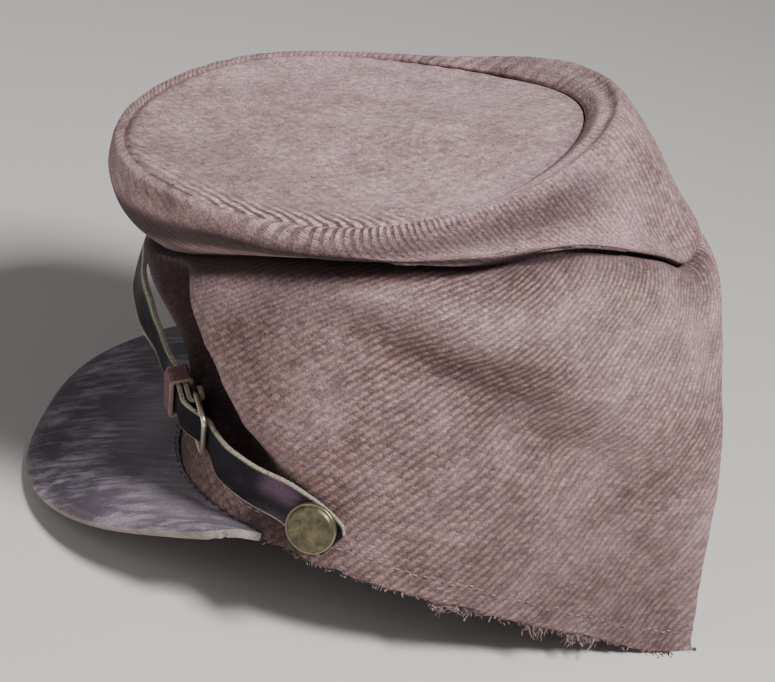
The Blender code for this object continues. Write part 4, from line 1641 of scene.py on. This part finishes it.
@dataclass
class StrapButton:
    """A plain stamped brass button: a low dome inside a turned rim, a hollow back and a wire shank."""

    strap: ChinStrap
    finish: OldBrass
    radius: float = 8.2
    dome: float = 2.2
    rim: float = 1.4
    standoff: float = 1.6       # between the strap and the button's back
    shank: float = 2.0          # its radius
    along: float = 8.5          # from the end of the strap
    knocks: float = 0.12        # unevenness of the dome
    sides: int = 72

    def build(self, which: ButtonSide) -> Object:
        """Build and dress one button.

        Args:
            which: Left or right.

        Returns:
            The piece, which stands for the button's solid.
        """
        under = -self.strap.leather / 2 - self.strap.gap
        back = self.strap.leather / 2 + self.standoff
        front, r = back + self.rim, self.radius
        profile = [  # radius, height, brightness of the brass
            (0.02, under, 0.0), (self.shank, under, 0.0), (self.shank, back - 0.9, 0.0),
            (self.shank + 0.8, back - 0.15, 0.0), (r - 1.7, back + 0.25, 0.0), (r - 0.8, back, 0.1),
            (r - 0.15, back + 0.15, 0.5), (r, back + 0.55, 0.9), (r, front - 0.25, 1.0),
            (r - 0.15, front + 0.1, 1.0), (r - 0.4, front + 0.28, 0.8), (r - 0.65, front + 0.2, 0.2),
            (r - 0.85, front + 0.22, 0.0)]
        profile += [(r * math.sin(a), front + 0.1 + (self.dome - 0.1) * math.cos(a) ** 1.15, 0.12)
                    for a in np.radians((60, 52, 44, 36, 28, 20, 12, 6, 1))]
        radii, heights, bright = zip(*profile)
        points = turned_ring(radii, heights, self.sides)
        points[..., 2] -= (self.knocks * ease(points[..., 2], front, front + 1)
                           * (1 + ripple(points, 5, 3.0 + r)))
        edge = np.repeat(np.array(bright)[:, None], self.sides, axis=1)
        distance = self.along if which is ButtonSide.LEFT else self.strap.route.length - self.along
        piece = grid_piece(which.value + "_brass", points, closed=True, marks={"edge": edge}, pole=True)
        piece.data.transform(self.strap.route.matrix(distance))
        weld_outwards(piece, 0.05)
        piece = finished(piece, self.finish.material())
        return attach(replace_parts(piece, which.value), BODY)


# ---------------------------------------------------------------- threads


def track(name: str, points: np.ndarray) -> Object:
    """Make a curve object.

    Args:
        name: Name of the object.
        points: Its points, in mm.

    Returns:
        The object.
    """
    curve = bpy.data.curves.new(name, "CURVE")
    curve.dimensions = "3D"
    spline = curve.splines.new("POLY")
    spline.points.add(len(points) - 1)
    spline.points.foreach_set("co", np.column_stack([points * MM, np.ones(len(points))]).ravel())
    return link(bpy.data.objects.new(name, curve))


class Given(NamedTuple):
    """An input of a Geometry Nodes group: its name, its value, and whether it is a whole number."""

    name: str
    value: float
    whole: bool = False


@dataclass(frozen=True)
class ThreadPiece:
    """Threads set along a line by Geometry Nodes."""

    name: str
    finish: Thread
    least_height: ClassVar[float] = 0.0     # above the floor, mm

    def inputs(self) -> tuple[Given, ...]:
        """Named inputs of the nodes."""
        raise NotImplementedError

    def nodes(self, tree: NodeTree, given: Node) -> Node:
        """Add the nodes.

        Args:
            tree: The node group.
            given: Its input node.

        Returns:
            The last node, which gives realized geometry.
        """
        raise NotImplementedError

    def build(self, line: np.ndarray, slot: str = "wool") -> Object:
        """Run the nodes on a line and keep the result as a plain mesh.

        Args:
            line: Points of the line, in mm.
            slot: Material slot that the threads belong to; not used.

        Returns:
            The dressed piece.
        """
        tree = bpy.data.node_groups.new(self.name, "GeometryNodeTree")
        for way in ("INPUT", "OUTPUT"):
            tree.interface.new_socket("Geometry", in_out=way, socket_type="NodeSocketGeometry")
        values = {}
        for item in self.inputs():
            kind = "NodeSocketInt" if item.whole else "NodeSocketFloat"
            socket = tree.interface.new_socket(item.name, in_out="INPUT", socket_type=kind)
            values[socket.identifier] = item.value
        last = self.nodes(tree, add(tree, "NodeGroupInput"))
        dressed = add(tree, "GeometryNodeSetMaterial", {"Geometry": last,
                                                        "Material": self.finish.material()})
        add(tree, "NodeGroupOutput", {0: dressed})
        piece = track(self.name, line)
        modifier = piece.modifiers.new("Threads", "NODES")
        modifier.node_group = tree
        for key, value in values.items():
            modifier[key] = value
        piece = baked(piece)
        keep_above_floor(piece, self.least_height)
        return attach(piece, BODY)


@dataclass(frozen=True)
class StitchRow(ThreadPiece):
    """A row of running stitches in linen thread, drawn at its real thickness."""

    pitch: float = 3.4          # one stitch and one gap, mm
    length: float = 2.0
    radius: float = 0.23
    wander: float = 0.25
    seed: int = 3

    def inputs(self) -> tuple[Given, ...]:
        """Named inputs of the nodes."""
        return (Given("Pitch", self.pitch * MM), Given("Length", self.length * MM),
                Given("Radius", self.radius * MM), Given("Wander", self.wander * MM),
                Given("Seed", self.seed, True))

    def nodes(self, tree: NodeTree, given: Node) -> Node:
        """Add the nodes.

        Args:
            tree: The node group.
            given: Its input node.

        Returns:
            The last node, which gives realized geometry.
        """
        value = given.outputs
        even = add(tree, "GeometryNodeResampleCurve", {"Curve": given, "Length": value["Pitch"]},
                   mode="LENGTH")
        places = add(tree, "GeometryNodeCurveToPoints", {"Curve": even}, mode="EVALUATED")
        thread = add(tree, "GeometryNodeMeshUVSphere", {"Segments": 6, "Rings": 5,
                                                        "Radius": value["Radius"]})
        stretch = add(tree, "ShaderNodeMath", {0: value["Length"], 1: value["Radius"]}, operation="DIVIDE")
        half = add(tree, "ShaderNodeMath", {0: stretch, 1: 0.5}, operation="MULTIPLY")
        size = add(tree, "ShaderNodeCombineXYZ", {"X": 1.0, "Y": 1.0, "Z": half})
        long = add(tree, "GeometryNodeTransform", {"Geometry": thread, "Scale": size})
        away = add(tree, "ShaderNodeMath", {0: value["Wander"], 1: -1.0}, operation="MULTIPLY")
        low, high = (add(tree, "ShaderNodeCombineXYZ", {i: end for i in range(3)})
                     for end in (away, value["Wander"]))
        shift = add(tree, "FunctionNodeRandomValue", {0: low, 1: high, "Seed": value["Seed"]},
                    data_type="FLOAT_VECTOR")
        moved = add(tree, "GeometryNodeSetPosition", {"Geometry": places, "Offset": shift})
        rows = add(tree, "GeometryNodeInstanceOnPoints", {"Points": moved, "Instance": long,
                                                          "Rotation": places.outputs["Rotation"]})
        return add(tree, "GeometryNodeRealizeInstances", {"Geometry": rows})


@dataclass(frozen=True)
class FrayedThreads(ThreadPiece):
    """Loose wool ends at a cut edge, drawn about twice as thick as a real yarn ply so that they show."""

    count: int
    length: float               # of the longest, mm
    seed: int
    radius: float = 0.16
    spread: float = 60.0        # degrees that they turn away from straight down
    curl: float = 1.2           # bending, mm
    bend: float = 2.6           # length of one bend, mm
    least_height: ClassVar[float] = 0.05

    def inputs(self) -> tuple[Given, ...]:
        """Named inputs of the nodes."""
        return (Given("Count", self.count, True), Given("Length", self.length * MM),
                Given("Radius", self.radius * MM), Given("Spread", math.radians(self.spread)),
                Given("Curl", 4 * self.curl * MM), Given("Seed", self.seed, True))

    def nodes(self, tree: NodeTree, given: Node) -> Node:
        """Add the nodes.

        Args:
            tree: The node group.
            given: Its input node.

        Returns:
            The last node, which gives realized geometry.
        """
        value = given.outputs
        even = add(tree, "GeometryNodeResampleCurve", {"Curve": given, "Count": value["Count"]},
                   mode="COUNT")
        places = add(tree, "GeometryNodeCurveToPoints", {"Curve": even}, mode="EVALUATED")
        end = add(tree, "ShaderNodeCombineXYZ", {"Z": value["Length"]})
        down = add(tree, "ShaderNodeVectorMath", {0: end, "Scale": -1.0}, operation="SCALE")
        strand = add(tree, "GeometryNodeCurvePrimitiveLine", {"Start": (0.0, 0.0, 0.0), "End": down},
                     mode="POINTS")
        joints = add(tree, "GeometryNodeResampleCurve", {"Curve": strand, "Count": 7}, mode="COUNT")
        ring = add(tree, "GeometryNodeCurvePrimitiveCircle", {"Resolution": 3, "Radius": value["Radius"]})
        tube = add(tree, "GeometryNodeCurveToMesh", {"Curve": joints, "Profile Curve": ring})
        less = add(tree, "ShaderNodeMath", {0: value["Spread"], 1: -1.0}, operation="MULTIPLY")
        low, high = (add(tree, "ShaderNodeCombineXYZ", {"X": lean, "Y": lean, "Z": turn})
                     for lean, turn in ((less, -math.pi), (value["Spread"], math.pi)))
        turn = add(tree, "FunctionNodeRandomValue", {0: low, 1: high, "Seed": value["Seed"]},
                   data_type="FLOAT_VECTOR")
        size = add(tree, "FunctionNodeRandomValue", {2: 0.25, 3: 1.0, "Seed": value["Seed"]},
                   data_type="FLOAT")
        hung = add(tree, "GeometryNodeInstanceOnPoints", {"Points": places, "Instance": tube,
                                                          "Rotation": turn, "Scale": size})
        real = add(tree, "GeometryNodeRealizeInstances", {"Geometry": hung})
        bends = add(tree, "ShaderNodeTexNoise", {"Scale": 1 / (self.bend * MM), "Detail": 1.0})
        middle = add(tree, "ShaderNodeVectorMath", {0: bends.outputs["Color"], 1: (0.5, 0.5, 0.5)},
                     operation="SUBTRACT")
        drawn = add(tree, "ShaderNodeVectorMath", {0: middle, "Scale": value["Curl"]}, operation="SCALE")
        return add(tree, "GeometryNodeSetPosition", {"Geometry": real, "Offset": drawn})


class Fray(NamedTuple):
    """Loose threads on the rim: on which line, from and to which share of it, how many and how long."""

    name: str
    line: str
    start: float
    end: float
    count: int
    length: float
    seed: int


FRAYS = (
    Fray("rim_fuzz", "rim", 0.0, 1.0, 800, 1.5, 5),
    Fray("inner_rim_fuzz", "inner rim", 0.0, 1.0, 500, 1.8, 6),
    Fray("left_tuft", "rim", 0.303, 0.325, 90, 4.2, 8),
    Fray("middle_tuft", "rim", 0.345, 0.356, 30, 4.6, 11),
    Fray("low_tuft", "rim", 0.365, 0.385, 80, 5.2, 7),
    Fray("rear_tuft", "rim", 0.43, 0.445, 30, 4.0, 9),
    Fray("right_threads", "rim", 0.56, 0.72, 60, 4.5, 10),
)


# ---------------------------------------------------------------- studio


@dataclass
class Studio:
    """Pale paper sweep, one large soft window to the rear left of the cap, and the camera."""

    paper: StudioPaper = StudioPaper()
    target: tuple[float, float, float] = (0.0, -0.0145, 0.0745)     # metres
    distance: float = 0.85      # metres
    elevation: float = 27.0     # degrees
    roll: float = 18.6          # degrees
    lens: float = 120.43        # mm
    floor_half: float = 1.6     # half the paper's width, metres
    sky_shade: str = "e8ecf2"
    sky_light: float = 0.12

    def build(self) -> None:
        """Add the floor, the lights and the camera."""
        self.floor()
        self.lamp("window", place=(0.38, 0.46, 1.04), size=0.28, power=18.5)
        self.lamp("fill", place=(0.85, -0.65, 0.55), size=0.9, power=3.6)
        self.sky()
        self.camera()

    def floor(self) -> None:
        """Add the paper under the cap."""
        half = self.floor_half
        mesh = bpy.data.meshes.new("paper")
        mesh.from_pydata([(-half, -half, 0), (half, -half, 0), (half, half, 0), (-half, half, 0)], [],
                         [(0, 1, 2, 3)])
        mesh.materials.append(self.paper.material())
        link(bpy.data.objects.new("paper", mesh))

    def lamp(self, name: str, place: tuple[float, float, float], size: float, power: float) -> None:
        """Add an area light turned to the cap.

        Args:
            name: Name of the light.
            place: Its place, in metres.
            size: Its width, in metres.
            power: Its power, in watts.
        """
        light = bpy.data.lights.new(name, "AREA")
        light.size = size
        light.energy = power
        lamp = link(bpy.data.objects.new(name, light))
        lamp.location = place
        lamp.rotation_euler = (Vector(self.target) - Vector(place)).to_track_quat("-Z", "Y").to_euler()

    def sky(self) -> None:
        """Set an even, low surrounding light."""
        world = bpy.data.worlds.new("studio")
        world.use_nodes = True
        background = world.node_tree.nodes["Background"]
        background.inputs["Color"].default_value = linear(self.sky_shade)
        background.inputs["Strength"].default_value = self.sky_light
        bpy.context.scene.world = world

    def camera(self) -> None:
        """Aim the camera at the wearer's left side, from above, and turn it about its own axis."""
        up_angle, turn = math.radians(self.elevation), math.radians(self.roll)
        back = Vector((math.cos(up_angle), 0, math.sin(up_angle)))
        level, upright = Vector((0, 1, 0)), Vector((-math.sin(up_angle), 0, math.cos(up_angle)))
        right = level * math.cos(turn) + upright * math.sin(turn)
        up = upright * math.cos(turn) - level * math.sin(turn)
        place = Vector(self.target) + back * self.distance
        lens = bpy.data.cameras.new("camera")
        lens.lens = self.lens
        lens.sensor_width = 36
        lens.clip_start, lens.clip_end = 0.05, 20
        camera = link(bpy.data.objects.new("camera", lens))
        camera.matrix_world = Matrix([(right[i], up[i], back[i], place[i]) for i in range(3)]
                                     + [(0, 0, 0, 1)])
        bpy.context.scene.camera = camera


# ---------------------------------------------------------------- the whole scene


def main() -> None:
    """Build the scene."""
    logging.basicConfig(level=logging.INFO, stream=sys.stdout, format="%(name)s: %(message)s")
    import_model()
    shape = CapShape()
    black = WornLeather("blackened_leather", dye="544b55", rubbed="a79ba9", bare_and_sheen="9c9199", cut="a3948a",
                        streak=(2.2, 30.0, 6.0), gloss=0.5)
    red = WornLeather("red_brown_leather", dye="684a50", rubbed="8e7076", bare_and_sheen="a07a74", rubbed_share=0.6,
                      streak=(3.0, 6.0, 3.0), craze=2.5)
    # the strap's bare_and_sheen colour paints the purple sheen by the button
    strap_leather = WornLeather("strap_leather", dye="17131a", rubbed="3c343f", bare_and_sheen="6a5264",
                                cut="a89c8c", streak=(9.0, 9.0, 2.0), roughness=0.42, rubbed_share=0.3,
                                gloss=0.2)
    wool = WoolSide(shape, TwillWool("twill_wool", Nap.WORN, warp="ae8b90", warp_tan="9f8578"))
    LOG.info("wool side: %s", wool.build().name)
    milled = TwillWool("milled_twill", Nap.MILLED, mottled=0.26)
    LOG.info("crown: %s", CrownDisc(shape, milled).build().name)
    peak = LeatherPeak(shape, black)
    LOG.info("peak: %s", peak.build().name)
    linen = Thread("linen_thread", light="ab9490", dark="7d6664")
    yarn = Thread("loose_yarn", light="a88e8c", dark="6e5658")
    LOG.info("hem: %s", StitchRow("hem_stitches", linen).build(wool.lines["hem"], "wool").name)
    waxed = Thread("black_thread", light="4a4044", dark="2c2628")
    stitches = StitchRow("peak_stitches", waxed, pitch=4.2, length=2.6)
    LOG.info("peak: %s", stitches.build(peak.root_line, "black_leather").name)
    for fray in FRAYS:
        line = wool.lines[fray.line]
        line = line[int(fray.start * len(line)):int(fray.end * len(line))]
        threads = FrayedThreads(fray.name, yarn, fray.count, fray.length, fray.seed)
        LOG.info("rim: %s", threads.build(line).name)
    strap = ChinStrap(StrapRoute(STRAP_ROUTE), strap_leather)
    for piece in strap.build():
        LOG.info("strap: %s", piece.name)
    LOG.info("keeper: %s", StrapKeeper(strap, red).build().name)
    LOG.info("buckle: %s", WireBuckle(strap, OldBrass("pale_brass", clean="e2d8bd", tarnish="b3a684",
                                                      roughness=0.38, cloud=4.0)).build().name)
    buttons = StrapButton(strap, OldBrass("dull_brass"))
    for side in ButtonSide:
        LOG.info("button: %s", buttons.build(side).name)
    Studio().build()
    bpy.context.view_layer.update()


if __name__ == "__main__":
    main()
